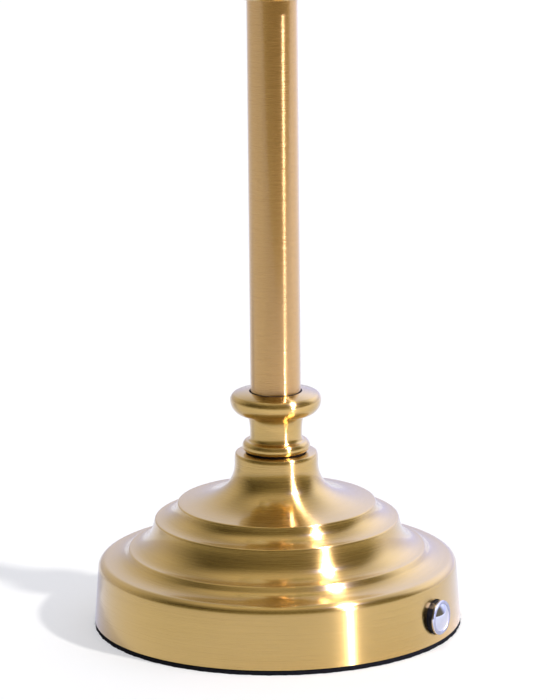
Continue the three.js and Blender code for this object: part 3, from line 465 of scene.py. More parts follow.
def curve(points, pieces):
    """Points along a curve from the first to the last of its points, drawn towards those between them."""
    made = []
    for t in (k / pieces for k in range(pieces + 1)):
        stage = points
        while len(stage) > 1:
            stage = [tuple((1 - t) * a + t * b for a, b in zip(p, q)) for p, q in zip(stage, stage[1:])]
        made.append(stage[0])
    return made


def cove(start, crown, end, lean):
    """A curve that leaves the crown of one lip and runs smoothly into the wall of the lip above it."""
    uphill = [-part for part in downhill(crown)]
    wall = downhill(lean)
    gap = (end[0] - start[0], end[1] - start[1])
    reach = (gap[0] * wall[1] - gap[1] * wall[0]) / (uphill[0] * wall[1] - uphill[1] * wall[0])
    pull = (start[0] + uphill[0] * reach, start[1] + uphill[1] * reach)
    return curve([start, pull, end], COVE_PIECES)


def shell_profile():
    """The shell's outside from the foot up, then its inside one wall in and one wall down."""
    lips = [step_lip(*sizes) for sizes in LIPS]
    lean = (lips[0][0][0] - FOOT[0]) / BAND_ROWS
    rise = (lips[0][0][1] - FOOT[1]) / BAND_ROWS
    outside = [(FOOT[0] + lean * k, FOOT[1] + rise * k) for k in range(BAND_ROWS)] + lips[0]
    neck_radius, neck_height = LIPS[-1][:2]
    band_radius, band_top, band_edge = LIPS[0][:3]
    inside = [(band_radius, band_top - band_edge + SHELL_WALL), (FOOT[0], FOOT[1] + SHELL_WALL)]
    for low, high, low_lip, high_lip in zip(LIPS, LIPS[1:], lips, lips[1:]):
        hollow = cove(low_lip[-1], low[LIP_CROWN], high_lip[0], high[LIP_LEAN])
        outside += hollow[1:-1] + high_lip
        inside = hollow[::-4] + inside
    bore = [(ROD_HOLE, neck_height), (ROD_HOLE, neck_height - SHELL_WALL)]
    inside = [(neck_radius, neck_height)] + inside
    return outside + bore + [(radius - SHELL_WALL, height - SHELL_WALL) for radius, height in inside]


def push_out(name, outline, start, end):
    """A prism of an (x, z) outline in mm, from y = start to y = end."""
    return skin(name, [[(x, y, z) for x, z in outline] for y in (start, end)], "capped")


def bored(name, mesh, tools, material):
    """A mesh with other meshes cut out of it."""
    body = add_object(name + "_blank", mesh)
    cutters = [add_object(tool.name, tool) for tool in tools]
    for cutter in cutters:
        modifier = body.modifiers.new(cutter.name, "BOOLEAN")
        modifier.operation = "DIFFERENCE"
        modifier.solver = "EXACT"
        modifier.object = cutter
    return keep_result(name, body, material, cutters)


brass = brushed_brass("brushed_brass", BRASS_TONES, BRASS_SCRATCHES)
button_bore = arc((0.0, BUTTON_LEVEL), BUTTON_HOLE, BUTTON_HOLE, 0, 4, 64)[:-1]
port_round = PORT_SIZE[1] / 2
port_half = PORT_SIZE[0] / 2 - port_round
port_bore = [
    *arc((port_half, PORT_LEVEL), port_round, port_round, -1, 1, 16),
    *arc((-port_half, PORT_LEVEL), port_round, port_round, 1, 3, 16),
]
spun_shell = bored("spun_shell", turn("spun_shell", shell_profile(), SHELL_FACETS), [
    push_out("button_bore", button_bore, -CUT_FAR, -CUT_NEAR),
    push_out("port_bore", port_bore, CUT_NEAR, CUT_FAR),
], brass)
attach(spun_shell, "lamp")
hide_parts("base_shell")

# Push button
# A turned brass cap, chromed, pressed into the black plunger that fills the shell's hole. A satin ring
# with a rounded edge frames its polished dome.
CAP_RADIUS = 5.5
CAP_BACK = 59.48
CAP_FACE = 60.28
CAP_EDGE = 0.4
CAP_PIN = (1.6, 2.6)
DOME_RADIUS = 4.4
DOME_GROOVE = 0.1
DOME_SINK = 0.15
DOME_RISE = 1.4
DOME_ROWS = 16
SMALL_FACETS = 96
GLOSS_TONES = ((0.006, 0.007, 0.012), (0.014, 0.016, 0.028))
CHROME_TONES = ((0.60, 0.62, 0.67), (0.69, 0.71, 0.76))
SATIN_TONES = ((0.36, 0.38, 0.42), (0.45, 0.47, 0.51))
gloss = mottled("black_gloss", GLOSS_TONES, roughness=0.3, scale=700.0, bump=0.000004, more=DULL)
dress(gloss, "button_plunger")
chrome = mottled("polished_chrome", CHROME_TONES, roughness=0.04, metallic=1.0, scale=300.0, bump=0.000001)
satin = mottled("satin_chrome", SATIN_TONES, roughness=0.5, metallic=1.0, scale=900.0, bump=0.000003)
dome_steps = [k / DOME_ROWS for k in range(DOME_ROWS + 1)]
cap_mesh = turn("chrome_button", [
    (0.0, CAP_BACK - CAP_PIN[1]),
    (CAP_PIN[0], CAP_BACK - CAP_PIN[1]),
    (CAP_PIN[0], CAP_BACK),
    (CAP_RADIUS, CAP_BACK),
    *arc((CAP_RADIUS - CAP_EDGE, CAP_FACE - CAP_EDGE), CAP_EDGE, CAP_EDGE, 0, 1, 8),
    (DOME_RADIUS + DOME_GROOVE, CAP_FACE),
    *[(DOME_RADIUS * (1 - t), CAP_FACE - DOME_SINK + DOME_RISE * t * (2 - t)) for t in dome_steps],
], SMALL_FACETS, ends="on_axis")
cap_mesh.transform(Matrix.Translation((0, 0, BUTTON_LEVEL * MM)) @ Matrix.Rotation(math.pi / 2, 4, "X"))
chrome_button = show("chrome_button", cap_mesh, chrome)
cap_mesh.materials.append(satin)
# Only the ring that faces out is satin; the dome and the side are polished.
for polygon in cap_mesh.polygons:
    off_axis = math.hypot(polygon.center.x, polygon.center.z - BUTTON_LEVEL * MM)
    polygon.material_index = 1 if off_axis > DOME_RADIUS * MM and polygon.normal.y < -0.5 else 0
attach(chrome_button, "button")
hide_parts("button_cap")

# Spools and stem
# Two equal spools, turned from brass bar with a bead, a waist and a round collar, hold a length of drawn
# brass tube between them. Spools and tube are brushed and lacquered like the base, the tube a little redder.
# Each seat also holds a thin black ring: under the bead it is painted shade in the gap, and at each end of
# the tube it draws a dark joint line.
SPOOL_FOOT = (7.4, 0.3)
BEAD = (10.75, 3.6, 1.5)
WAIST_RADIUS = 8.25
WAIST_FILLET = (0.75, 1.7)
WAIST_FLARE = (1.6, 5.7)
WAIST_TOP = 12.5
COLLAR_RADIUS = 14.5
COLLAR_LEVEL = 17.1
COLLAR_ROLL = 4.2
COLLAR_CREST = (1.9, 2.2)
COLLAR_EDGE = 0.75
LOWER_SPOOL = 56.4
SPOOL_TOP = 20.0
SOCKET_GAP = 0.45
SOCKET_RIM = 0.15
SOCKET_DEPTH = 3.9
STEM_VISIBLE = 126.2
STEM_RADIUS = 8.0
TUBE_WALL = 1.0
TUBE_SUNK = 3.7
TUBE_CHAMFER = 0.2
TUBE_ROWS = 24
TURNED_FACETS = 128
TUBE_TONES = ((0.560, 0.330, 0.092), (0.630, 0.383, 0.115))
TUBE_SCRATCHES = 0.545


def turned(name, profile, facets, material, ends="joined"):
    """A turned piece with one finish."""
    return show(name, turn(name, profile, facets, ends), material)


def spool_profile():
    """A spool standing on z = 0, its collar on top, with the tube's socket in the collar."""
    bead_radius, bead_height, bead_round = BEAD
    bead_top = SPOOL_FOOT[1] + bead_height
    bead_centre = (bead_radius - bead_round, SPOOL_FOOT[1] + bead_height / 2)
    fillet, fillet_rise = WAIST_FILLET
    flare, flare_rise = WAIST_FLARE
    roll_rise = COLLAR_LEVEL - WAIST_TOP
    crest, crest_rise = COLLAR_CREST
    return [
        (ROD_HOLE, 0.0),
        (SPOOL_FOOT[0], 0.0),
        SPOOL_FOOT,
        *arc(bead_centre, bead_round, bead_height / 2, -1, 1, 16),
        *arc((WAIST_RADIUS + fillet, bead_top + fillet_rise), fillet, fillet_rise, 3, 2, 8),
        *arc((WAIST_RADIUS + flare, WAIST_TOP - flare_rise), flare, flare_rise, 2, 1, 18),
        *arc((COLLAR_RADIUS - COLLAR_ROLL, COLLAR_LEVEL), COLLAR_ROLL, roll_rise, -1, 0, 18),
        *arc((COLLAR_RADIUS - crest, COLLAR_LEVEL), crest, crest_rise, 0, COLLAR_EDGE, 12)[1:],
        (STEM_RADIUS + SOCKET_GAP, SPOOL_TOP - SOCKET_RIM),
        (STEM_RADIUS + SOCKET_GAP, SPOOL_TOP - SOCKET_DEPTH),
        (ROD_HOLE, SPOOL_TOP - SOCKET_DEPTH),
    ]


upper_spool_top = LOWER_SPOOL + 2 * SPOOL_TOP + STEM_VISIBLE
lower_profile = [(r, LOWER_SPOOL + z) for r, z in spool_profile()]
upper_profile = [(r, upper_spool_top - z) for r, z in spool_profile()][::-1]
for spool_name, profile, replaced in (("turned_spool_lower", lower_profile, "spool_lower"),
                                      ("turned_spool_upper", upper_profile, "spool_upper")):
    turned_spool = turned(spool_name, profile, TURNED_FACETS, brass)
    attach(turned_spool, "lamp")
    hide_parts(replaced)

tube_brass = brushed_brass("tube_brass", TUBE_TONES, TUBE_SCRATCHES)
tube_low = LOWER_SPOOL + SPOOL_TOP - TUBE_SUNK
tube_high = tube_low + STEM_VISIBLE + 2 * TUBE_SUNK
drawn_tube = turned("drawn_tube", [
    (STEM_RADIUS - TUBE_WALL, tube_low),
    (STEM_RADIUS - TUBE_CHAMFER, tube_low),
    (STEM_RADIUS, tube_low + TUBE_CHAMFER),
    *[(STEM_RADIUS, tube_low + (tube_high - tube_low) * k / TUBE_ROWS) for k in range(1, TUBE_ROWS)],
    (STEM_RADIUS, tube_high - TUBE_CHAMFER),
    (STEM_RADIUS - TUBE_CHAMFER, tube_high),
    (STEM_RADIUS - TUBE_WALL, tube_high),
], TURNED_FACETS, tube_brass)
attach(drawn_tube, "lamp")
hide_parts("stem_tube")

gap_black = mottled("black_gap_fill", FELT_TONES, roughness=0.9, scale=900.0, bump=0.00001, more=DULL)
# Black rings: name, inner and outer radius, lower face and thickness. The neck's is painted shade; the stem's
# fill the tops of its sockets.
STEM_JOINT_RING = (STEM_RADIUS + 0.02, STEM_RADIUS + 0.43)
BLACK_RINGS = (
    ("neck_gap_shade", SPOOL_FOOT[0] + 0.05, 9.7, LOWER_SPOOL + 0.02, 0.26),
    ("stem_joint_line_lower", *STEM_JOINT_RING, LOWER_SPOOL + SPOOL_TOP - 1.2, 1.1),
    ("stem_joint_line_upper", *STEM_JOINT_RING, LOWER_SPOOL + SPOOL_TOP + STEM_VISIBLE + 0.1, 1.1),
)
# The ring under the bead is painted shade: black put in the gap where shade falls.
for dark_ring_name, inner, outer, low, thick in BLACK_RINGS:
    dark_ring_outline = [(inner, low), (outer, low), (outer, low + thick), (inner, low + thick)]
    dark_ring = turned(dark_ring_name, dark_ring_outline, SMALL_FACETS, gap_black)
    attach(dark_ring, "lamp")

# Lamp cup
# A turned brass cup on the upper spool, with an ogee foot, a straight wall and a round flange that the
# shade's hub sits on. A ledge inside carries the light.
CUP_BASE = 222.7
CUP_FOOT = 9.6
CUP_RADIUS = 15.6
CUP_CURVE = 8.0
CUP_PULLS = [(10.6, 3.6), (15.6, 2.8)]
CUP_HEIGHT = 15.9
CUP_FLANGE = (19.0, 1.6)
CUP_FILLET = 0.4
CUP_WALL = 1.5
CUP_LEDGE = (12.8, 9.8)
CUP_WELL = (9.5, 4.8)
CUP_FLOOR = 1.5
flange_round = CUP_FLANGE[1] / 2
cup_outline = [
    (ROD_HOLE, 0.0),
    *curve([(CUP_FOOT, 0.0), *CUP_PULLS, (CUP_RADIUS, CUP_CURVE)], 20),
    (CUP_RADIUS, CUP_HEIGHT - CUP_FLANGE[1] - CUP_FILLET),
    (CUP_RADIUS + CUP_FILLET, CUP_HEIGHT - CUP_FLANGE[1]),
    *arc((CUP_FLANGE[0] - flange_round, CUP_HEIGHT - flange_round), flange_round, flange_round, -1, 1, 14),
    (CUP_RADIUS - CUP_WALL, CUP_HEIGHT),
    (CUP_RADIUS - CUP_WALL, CUP_LEDGE[1]),
    CUP_LEDGE,
    CUP_WELL,
    (CUP_WELL[0], CUP_FLOOR),
    (ROD_HOLE, CUP_FLOOR),
]
turned_cup = turned("turned_cup", [(r, CUP_BASE + z) for r, z in cup_outline], TURNED_FACETS, brass)
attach(turned_cup, "lamp")
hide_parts("lamp_cup")

# Light
# A yellow light chip on its board, on an aluminium plug that takes the heat into the cup, under a domed
# opal tube that spreads the light.
ALUMINIUM_TONES = ((0.50, 0.51, 0.52), (0.62, 0.63, 0.64))
GEL_TONES = ((0.70, 0.46, 0.06), (0.82, 0.60, 0.12))
OPAL_RADIUS = 13.5
OPAL_BASE = 235.7
OPAL_HEIGHT = 62.0
OPAL_WALL = 1.4
OPAL_CHAMFER = 0.3
OPAL_TONES = ((0.80, 0.78, 0.73), (0.86, 0.84, 0.80))
OPAL_GLOW = {"Subsurface Weight": 0.4, "Subsurface Radius": (0.004, 0.004, 0.003), "Subsurface Scale": 1.0}
aluminium = mottled(
    "turned_aluminium", ALUMINIUM_TONES, roughness=0.34, metallic=1.0, scale=300.0, bump=0.00001)
dress(aluminium, "heat_sink")
gel = mottled("yellow_gel", GEL_TONES, roughness=0.35, scale=600.0, bump=0.00003)
dress(gel, "light_chip")
opal = mottled("opal_plastic", OPAL_TONES, roughness=0.38, scale=40.0, bump=0.00004, more=OPAL_GLOW)
opal_inside = OPAL_RADIUS - OPAL_WALL
opal_straight = OPAL_BASE + OPAL_HEIGHT - OPAL_RADIUS
opal_dome = turned("opal_dome", [
    (0.0, opal_straight + opal_inside),
    *arc((0.0, opal_straight), opal_inside, opal_inside, 1, 0, 20)[1:],
    (opal_inside, OPAL_BASE),
    (OPAL_RADIUS - OPAL_CHAMFER, OPAL_BASE),
    (OPAL_RADIUS, OPAL_BASE + OPAL_CHAMFER),
    *arc((0.0, opal_straight), OPAL_RADIUS, OPAL_RADIUS, 0, 1, 24)[:-1],
    (0.0, opal_straight + OPAL_RADIUS),
], SMALL_FACETS, opal, ends="on_axis")
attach(opal_dome, "lamp")
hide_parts("diffuser")

# Shade fitter
# A pressed hub that drops over the light onto the cup's flange, three wire arms, and the wire rings that
# hold the shade's edges. All are steel, welded and powder coated white.
HUB_IN = 14.6
HUB_OUT = 18.6
HUB_LOW = 238.7
HUB_THICK = 2.4
HUB_ROUND = 0.5
WIRE_RADIUS = 1.3
WIRE_GAP = 0.3
SHADE_BASE = 251.2
SHADE_HEIGHT = 108.0
SHADE_BOTTOM = 66.0
SHADE_TOP = 44.0
SHADE_WALL = 1.0
RING_INSET = 2.4
RING_FACETS = 192
POWDER_TONES = ((0.70, 0.69, 0.66), (0.78, 0.77, 0.74))
powder = mottled("white_powder_coat", POWDER_TONES, roughness=0.42, scale=1400.0, bump=0.00004)
hub_high = HUB_LOW + HUB_THICK
hub_outline = [
    *arc((HUB_IN + HUB_ROUND, HUB_LOW + HUB_ROUND), HUB_ROUND, HUB_ROUND, 2, 3, 4),
    *arc((HUB_OUT - HUB_ROUND, HUB_LOW + HUB_ROUND), HUB_ROUND, HUB_ROUND, -1, 0, 4),
    *arc((HUB_OUT - HUB_ROUND, hub_high - HUB_ROUND), HUB_ROUND, HUB_ROUND, 0, 1, 4),
    *arc((HUB_IN + HUB_ROUND, hub_high - HUB_ROUND), HUB_ROUND, HUB_ROUND, 1, 2, 4),
]
fitter_hub = turned("fitter_hub", hub_outline, SMALL_FACETS, powder)
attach(fitter_hub, "shade")
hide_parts("shade_hub")

shade_lean = (SHADE_BOTTOM - SHADE_TOP) / SHADE_HEIGHT
shade_slant = math.hypot(1.0, shade_lean)


def shade_radius(height, inward=0.0):
    """Radius of the cover's outside at a height above its lower edge, or of a layer that far inside it."""
    return SHADE_BOTTOM - shade_lean * height - inward * shade_slant


wire_inward = SHADE_WALL + WIRE_GAP + WIRE_RADIUS
for ring_name, ring_level, replaced in (("wire_ring_lower", RING_INSET, "shade_ring_lower"),
                                        ("wire_ring_upper", SHADE_HEIGHT - RING_INSET, "shade_ring_upper")):
    ring_centre = (shade_radius(ring_level, wire_inward), SHADE_BASE + ring_level)
    ring_section = arc(ring_centre, WIRE_RADIUS, WIRE_RADIUS, 0, 4, 12)[:-1]
    wire_ring = turned(ring_name, ring_section, RING_FACETS, powder)
    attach(wire_ring, "shade")
    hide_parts(replaced)

# The three arms are one wire, swept from the hub to the lower ring and repeated round the axis. It leaves
# the hub level and meets the ring level, and its ends sink a little into both.
ARM_COUNT = 3
ARM_LEVEL = 18.0
ARM_FIRST = math.pi / 2
ARM_IN_HUB = 0.2
ARM_IN_RING = 0.15
arm_tree, given, last = start_tree("fitter_arms", {
    "Count": "NodeSocketInt", "Wire": "NodeSocketFloat", "Level": "NodeSocketFloat",
    "Inner": "NodeSocketVector", "Outer": "NodeSocketVector",
})
arm_step = point_node(arm_tree, given["Level"])
arm_line = node(arm_tree, "GeometryNodeCurvePrimitiveBezierSegment", {
    "Resolution": 24, "Start": given["Inner"], "End": given["Outer"],
    "Start Handle": vector_node(arm_tree, "ADD", given["Inner"], arm_step),
    "End Handle": vector_node(arm_tree, "SUBTRACT", given["Outer"], arm_step),
})
arm_section = node(arm_tree, "GeometryNodeCurvePrimitiveCircle", {
    "Resolution": 16, "Radius": given["Wire"],
})
arm_wire = node(arm_tree, "GeometryNodeCurveToMesh", {
    "Curve": arm_line.outputs[0], "Profile Curve": arm_section.outputs[0], "Fill Caps": True,
})
arm_points = node(arm_tree, "GeometryNodePoints", {"Count": given["Count"]})
arms = node(arm_tree, "GeometryNodeInstanceOnPoints", {
    "Points": arm_points.outputs[0],
    "Instance": arm_wire.outputs[0],
    "Rotation": point_node(arm_tree, z=bearing_round(arm_tree, given["Count"], ARM_FIRST)),
})
end_tree(arm_tree, last, arms.outputs[0], powder)
arm_outer = shade_radius(RING_INSET, wire_inward) - WIRE_RADIUS + ARM_IN_RING
fitter_arms = grow("fitter_arms", arm_tree, {
    "Count": ARM_COUNT,
    "Wire": WIRE_RADIUS * MM,
    "Level": ARM_LEVEL * MM,
    "Inner": ((HUB_OUT - ARM_IN_HUB) * MM, 0.0, (HUB_LOW + HUB_THICK / 2) * MM),
    "Outer": (arm_outer * MM, 0.0, (SHADE_BASE + RING_INSET) * MM),
}, powder)
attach(fitter_arms, "shade")
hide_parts("shade_arm_1", "shade_arm_2", "shade_arm_3")

# Shade cover
# Natural linen bonded to a stiff white liner, cut as part of a ring, rolled into a cone and lapped at the
# back. A folded linen tape is glued round each edge.
COVER_FACETS = 240
COVER_ROWS = 56
LINEN_TONES = ((0.620, 0.552, 0.438), (0.790, 0.735, 0.625))
LINER_TONES = ((0.78, 0.77, 0.73), (0.84, 0.83, 0.79))
THREAD_PITCH = 0.9
# The slubs of the threads each way: how the noise is stretched along them, and where it starts.
SLUBS = (((0.045, 1.3, 1.0), 0.0), ((1.3, 0.045, 1.0), 31.0))
OVER_UNDER = 0.08


def woven_linen(name, tones, pitch):
    """Plain weave on the piece's own UV map, in mm: uneven threads both ways, each passing over and under."""
    material, shader = start_finish(name, tones[1], roughness=0.92, more={"Sheen Weight": 0.12})
    tree = material.node_tree
    place = node(tree, "ShaderNodeTexCoord").outputs["UV"]
    slubs = []
    for stretch, start in SLUBS:
        moved = node(tree, "ShaderNodeMapping", {
            "Vector": place, "Location": (start, start, 0.0), "Scale": stretch,
        })
        slubs.append(node(tree, "ShaderNodeTexNoise", {
            "Vector": moved.outputs[0], "Scale": 1.0 / pitch, "Detail": 2.0, "Roughness": 0.6,
        }).outputs["Fac"])
    across = node(tree, "ShaderNodeSeparateXYZ", {0: place}).outputs
    waves = [
        math_node(tree, "SINE", math_node(tree, "MULTIPLY", across[axis], math.pi / pitch))
        for axis in ("X", "Y")
    ]
    over_under = math_node(tree, "MULTIPLY", *waves)
    threads = math_node(tree, "MULTIPLY", math_node(tree, "ADD", *slubs), 0.5)
    raised = math_node(tree, "ADD", threads, math_node(tree, "MULTIPLY", over_under, OVER_UNDER))
    tint(tree, shader, raised, tones, stops=(0.34, 0.60))
    emboss(tree, shader, raised, distance=0.0003, strength=0.7)
    return material


def unroll(mesh):
    """A UV map in mm: the distance round the piece, and the height."""
    layer = mesh.uv_layers.new(name="unrolled")
    for polygon in mesh.polygons:
        bearings = [math.atan2(mesh.vertices[v].co.y, -mesh.vertices[v].co.x) for v in polygon.vertices]
        for loop, bearing in zip(polygon.loop_indices, bearings):
            if max(bearings) - bearing > math.pi:
                bearing += 2 * math.pi
            place = mesh.vertices[mesh.loops[loop].vertex_index].co
            layer.data[loop].uv = (bearing * (SHADE_BOTTOM + SHADE_TOP) / 2, place.z / MM)


linen = woven_linen("natural_linen", LINEN_TONES, THREAD_PITCH)
liner = mottled("white_liner", LINER_TONES, roughness=0.6, scale=120.0, bump=0.00003)
rows = [SHADE_HEIGHT * k / COVER_ROWS for k in range(COVER_ROWS + 1)]
cover_mesh = turn("linen_cover", [
    *[(shade_radius(h), SHADE_BASE + h) for h in rows],
    *[(shade_radius(h, SHADE_WALL), SHADE_BASE + h) for h in rows[::-1]],
], COVER_FACETS)
unroll(cover_mesh)
linen_cover = show("linen_cover", cover_mesh, linen)
cover_mesh.materials.append(liner)
# The linen faces out and the liner in.
for polygon in cover_mesh.polygons:
    outward = polygon.normal.x * polygon.center.x + polygon.normal.y * polygon.center.y
    polygon.material_index = 0 if outward > 0 else 1
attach(linen_cover, "shade")
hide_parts("shade_cover")

# Each tape is a low arch over the cover, steep at its two edges.
TAPE_HEIGHT = 8.0
TAPE_THICK = 0.5
TAPE_GAP = 0.1
TAPE_EDGE = 0.12
TAPE_ROWS = 8
for tape_name, low, replaced in (("linen_tape_lower", 0.0, "hem_tape_lower"),
                                 ("linen_tape_upper", SHADE_HEIGHT - TAPE_HEIGHT, "hem_tape_upper")):
    high = low + TAPE_HEIGHT
    tape_outline = [(shade_radius(low, -TAPE_GAP), SHADE_BASE + low)]
    for row in range(TAPE_ROWS + 1):
        tape_level = low + TAPE_HEIGHT * row / TAPE_ROWS
        share = TAPE_EDGE + (1 - 2 * TAPE_EDGE) * row / TAPE_ROWS
        outward = TAPE_GAP + TAPE_THICK * math.sin(math.pi * share) ** 0.5
        tape_outline.append((shade_radius(tape_level, -outward), SHADE_BASE + tape_level))
    tape_outline.append((shade_radius(high, -TAPE_GAP), SHADE_BASE + high))
    tape_mesh = turn(tape_name, tape_outline, COVER_FACETS)
    unroll(tape_mesh)
    linen_tape = show(tape_name, tape_mesh, linen)
    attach(linen_tape, "shade")
    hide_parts(replaced)

# The cover's free edge laps over its start as a second layer, thinned where it comes from below.
LAP_WIDTH = 10.0
LAP_THICK = 0.45
LAP_THINNED = 0.1
LAP_SWELL = 1.5
LAP_GAP = 0.05
LAP_COLUMNS = 12
LAP_LOW = TAPE_HEIGHT + 0.2


def lap_point(height, share, thick):
    """A point of the lap in mm, by its height, its share of the width and the thickness under it."""
    radius = shade_radius(height, -LAP_GAP - thick)
    bearing = math.pi / 2 + (share - 0.5) * LAP_WIDTH / radius
    return radius * math.cos(bearing), radius * math.sin(bearing), SHADE_BASE + height


lap_rise = SHADE_HEIGHT - 2 * LAP_LOW
lap_shares = [k / LAP_COLUMNS for k in range(LAP_COLUMNS + 1)]
lap_thicks = [LAP_THICK * min(1.0, LAP_THINNED + LAP_SWELL * share) for share in lap_shares]
lap_rings = []
for row in range(COVER_ROWS + 1):
    lap_height = LAP_LOW + lap_rise * row / COVER_ROWS
    under = [lap_point(lap_height, share, 0.0) for share in lap_shares]
    over = [lap_point(lap_height, share, thick) for share, thick in zip(lap_shares, lap_thicks)]
    lap_rings.append(under + over[::-1])
lap_mesh = skin("linen_lap", lap_rings, "capped")
unroll(lap_mesh)
linen_lap = show("linen_lap", lap_mesh, linen)
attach(linen_lap, "shade")

# Table
# A white table under the lamp, whose front edge runs askew half a metre in front of it. It is plain where it
# is seen. Where the brass mirrors it, painted light makes it brighter to the right and painted shade dimmer
# behind the lamp.
VIEW_AZIMUTH = math.radians(-59.2)
TABLE_FRONT = 0.49
TABLE_TURN = math.radians(22.5)
TABLE_REACH = 3.0
TABLE_DROP = 0.00005
WHITE = (1.0, 1.0, 1.0)
TABLE_WHITE = (0.95, 0.95, 0.95)
TABLE_GLOW = 0.4
TABLE_GLOW_MIRRORED = 0.35
TABLE_TINT = (0.97, 1.00, 1.50)
# Painted light in the mirrored table, by the distance to the right, and the most that it reaches.
TABLE_MOST = 2.4
TABLE_PAINTED_LIGHT = (
    (-0.6, 0.62), (-0.12, 0.72), (-0.08, 0.82), (-0.062, 0.98), (0.06, 1.0), (0.5, TABLE_MOST),
)
# Painted shade in the mirrored table: distances towards the viewer and the share of brightness at each, close
# to the lamp and far from it.
TABLE_SHADE_NEAR = (-0.06, 0.16, 0.50, 1.50)
TABLE_SHADE_FAR = (-0.25, 0.0, 0.60, 0.95)
TABLE_SHADE_ENDS = (0.12, 0.35)
towards_viewer = Vector((math.sin(VIEW_AZIMUTH), -math.cos(VIEW_AZIMUTH), 0.0))
viewer_right = Vector((math.cos(VIEW_AZIMUTH), math.sin(VIEW_AZIMUTH), 0.0))


def blend_colours(tree, share, *colours):
    """A colour between two others, by a share from 0 to 1."""
    first, second = [(*colour, 1.0) if isinstance(colour, tuple) else colour for colour in colours]
    return node(tree, "ShaderNodeMix", {"Factor": share, 6: first, 7: second}, data_type="RGBA").outputs[2]


table_mesh = bpy.data.meshes.new("table")
table_way = towards_viewer * math.cos(TABLE_TURN) + viewer_right * math.sin(TABLE_TURN)
table_side = viewer_right * math.cos(TABLE_TURN) - towards_viewer * math.sin(TABLE_TURN)
table_corners = [
    table_way * along + table_side * across
    for along, across in ((TABLE_FRONT, -TABLE_REACH), (TABLE_FRONT, TABLE_REACH),
                          (-TABLE_REACH, TABLE_REACH), (-TABLE_REACH, -TABLE_REACH))
]
table_mesh.from_pydata([tuple(corner) for corner in table_corners], [], [(0, 1, 2, 3)])
table_white = bpy.data.materials.new("table_white")
table_white.use_nodes = True
table_tree = table_white.node_tree
table_tree.nodes.clear()
table_rays = node(table_tree, "ShaderNodeLightPath").outputs
table_mirrored = math_node(
    table_tree, "MAXIMUM", table_rays["Is Glossy Ray"], table_rays["Is Transmission Ray"])
table_glowing = math_node(
    table_tree, "MAXIMUM",
    math_node(table_tree, "MULTIPLY", table_rays["Is Camera Ray"], TABLE_GLOW),
    math_node(table_tree, "MULTIPLY", table_mirrored, TABLE_GLOW_MIRRORED))
table_place = node(table_tree, "ShaderNodeTexCoord").outputs["Object"]
table_aside = vector_node(table_tree, "DOT_PRODUCT", table_place, viewer_right)
table_ahead = vector_node(table_tree, "DOT_PRODUCT", table_place, towards_viewer)
table_away = vector_node(table_tree, "LENGTH", table_place)
table_first, table_last = TABLE_PAINTED_LIGHT[0][0], TABLE_PAINTED_LIGHT[-1][0]
# Painted light: seen in the brass, the table grows brighter to the right, as if a lamp stood near it there.
table_light_ramp = node(table_tree, "ShaderNodeValToRGB", {
    "Fac": map_range(table_tree, table_aside, table_first, table_last),
})
for _ in TABLE_PAINTED_LIGHT[2:]:
    table_light_ramp.color_ramp.elements.new(0.5)
for element, (table_stop, table_level) in zip(table_light_ramp.color_ramp.elements, TABLE_PAINTED_LIGHT):
    element.position = (table_stop - table_first) / (table_last - table_first)
    element.color = (*[table_level / TABLE_MOST] * 3, 1.0)
# Painted shade: close to the lamp, the mirrored table is dimmer behind it.
table_painted_shade = blend_numbers(
    table_tree, map_range(table_tree, table_away, *TABLE_SHADE_ENDS),
    map_range(table_tree, table_ahead, *TABLE_SHADE_NEAR), map_range(table_tree, table_ahead, *TABLE_SHADE_FAR))
table_shaded = math_node(table_tree, "MULTIPLY", table_light_ramp.outputs["Color"], table_painted_shade)
table_painted_levels = math_node(table_tree, "MULTIPLY", table_shaded, TABLE_MOST)
table_glow = node(table_tree, "ShaderNodeEmission", {
    "Color": blend_colours(table_tree, table_mirrored, WHITE, TABLE_TINT),
    "Strength": blend_numbers(table_tree, table_mirrored, 1.0, table_painted_levels),
})
table_surface = node(table_tree, "ShaderNodeBsdfDiffuse", {"Color": (*TABLE_WHITE, 1.0)})
table_mix = node(table_tree, "ShaderNodeMixShader", {
    0: table_glowing, 1: table_surface.outputs[0], 2: table_glow.outputs[0],
})
node(table_tree, "ShaderNodeOutputMaterial", {"Surface": table_mix.outputs[0]})
table = show("table", table_mesh, table_white)
table.location.z = -TABLE_DROP

# Studio
# The brass mirrors pale walls at both sides, a soft light overhead and a dim room in front. The camera
# sees plain white, and dull surfaces are lit by an even glow that is weaker from the front.
AMBIENT_FRONT = (0.38, 0.39, 0.44)
AMBIENT_BACK = (1.00, 1.02, 1.13)
LEFT_WALL_LOW = (0.60, 0.58, 0.67)
LEFT_WALL_HIGH = (0.72, 0.69, 0.68)
RIGHT_WALL_LOW = (0.86, 0.90, 1.40)
RIGHT_WALL_HIGH = (1.45, 1.52, 2.15)
ROOM_LEFT = (0.080, 0.071, 0.048)
ROOM_RIGHT = (0.208, 0.182, 0.130)
ROOM_FLOOR = (0.26, 0.185, 0.07)
CEILING = (0.92, 0.86, 0.82)
OVERHEAD = (1.05, 0.97, 0.95)
BLACK = (0.0, 0.0, 0.0)
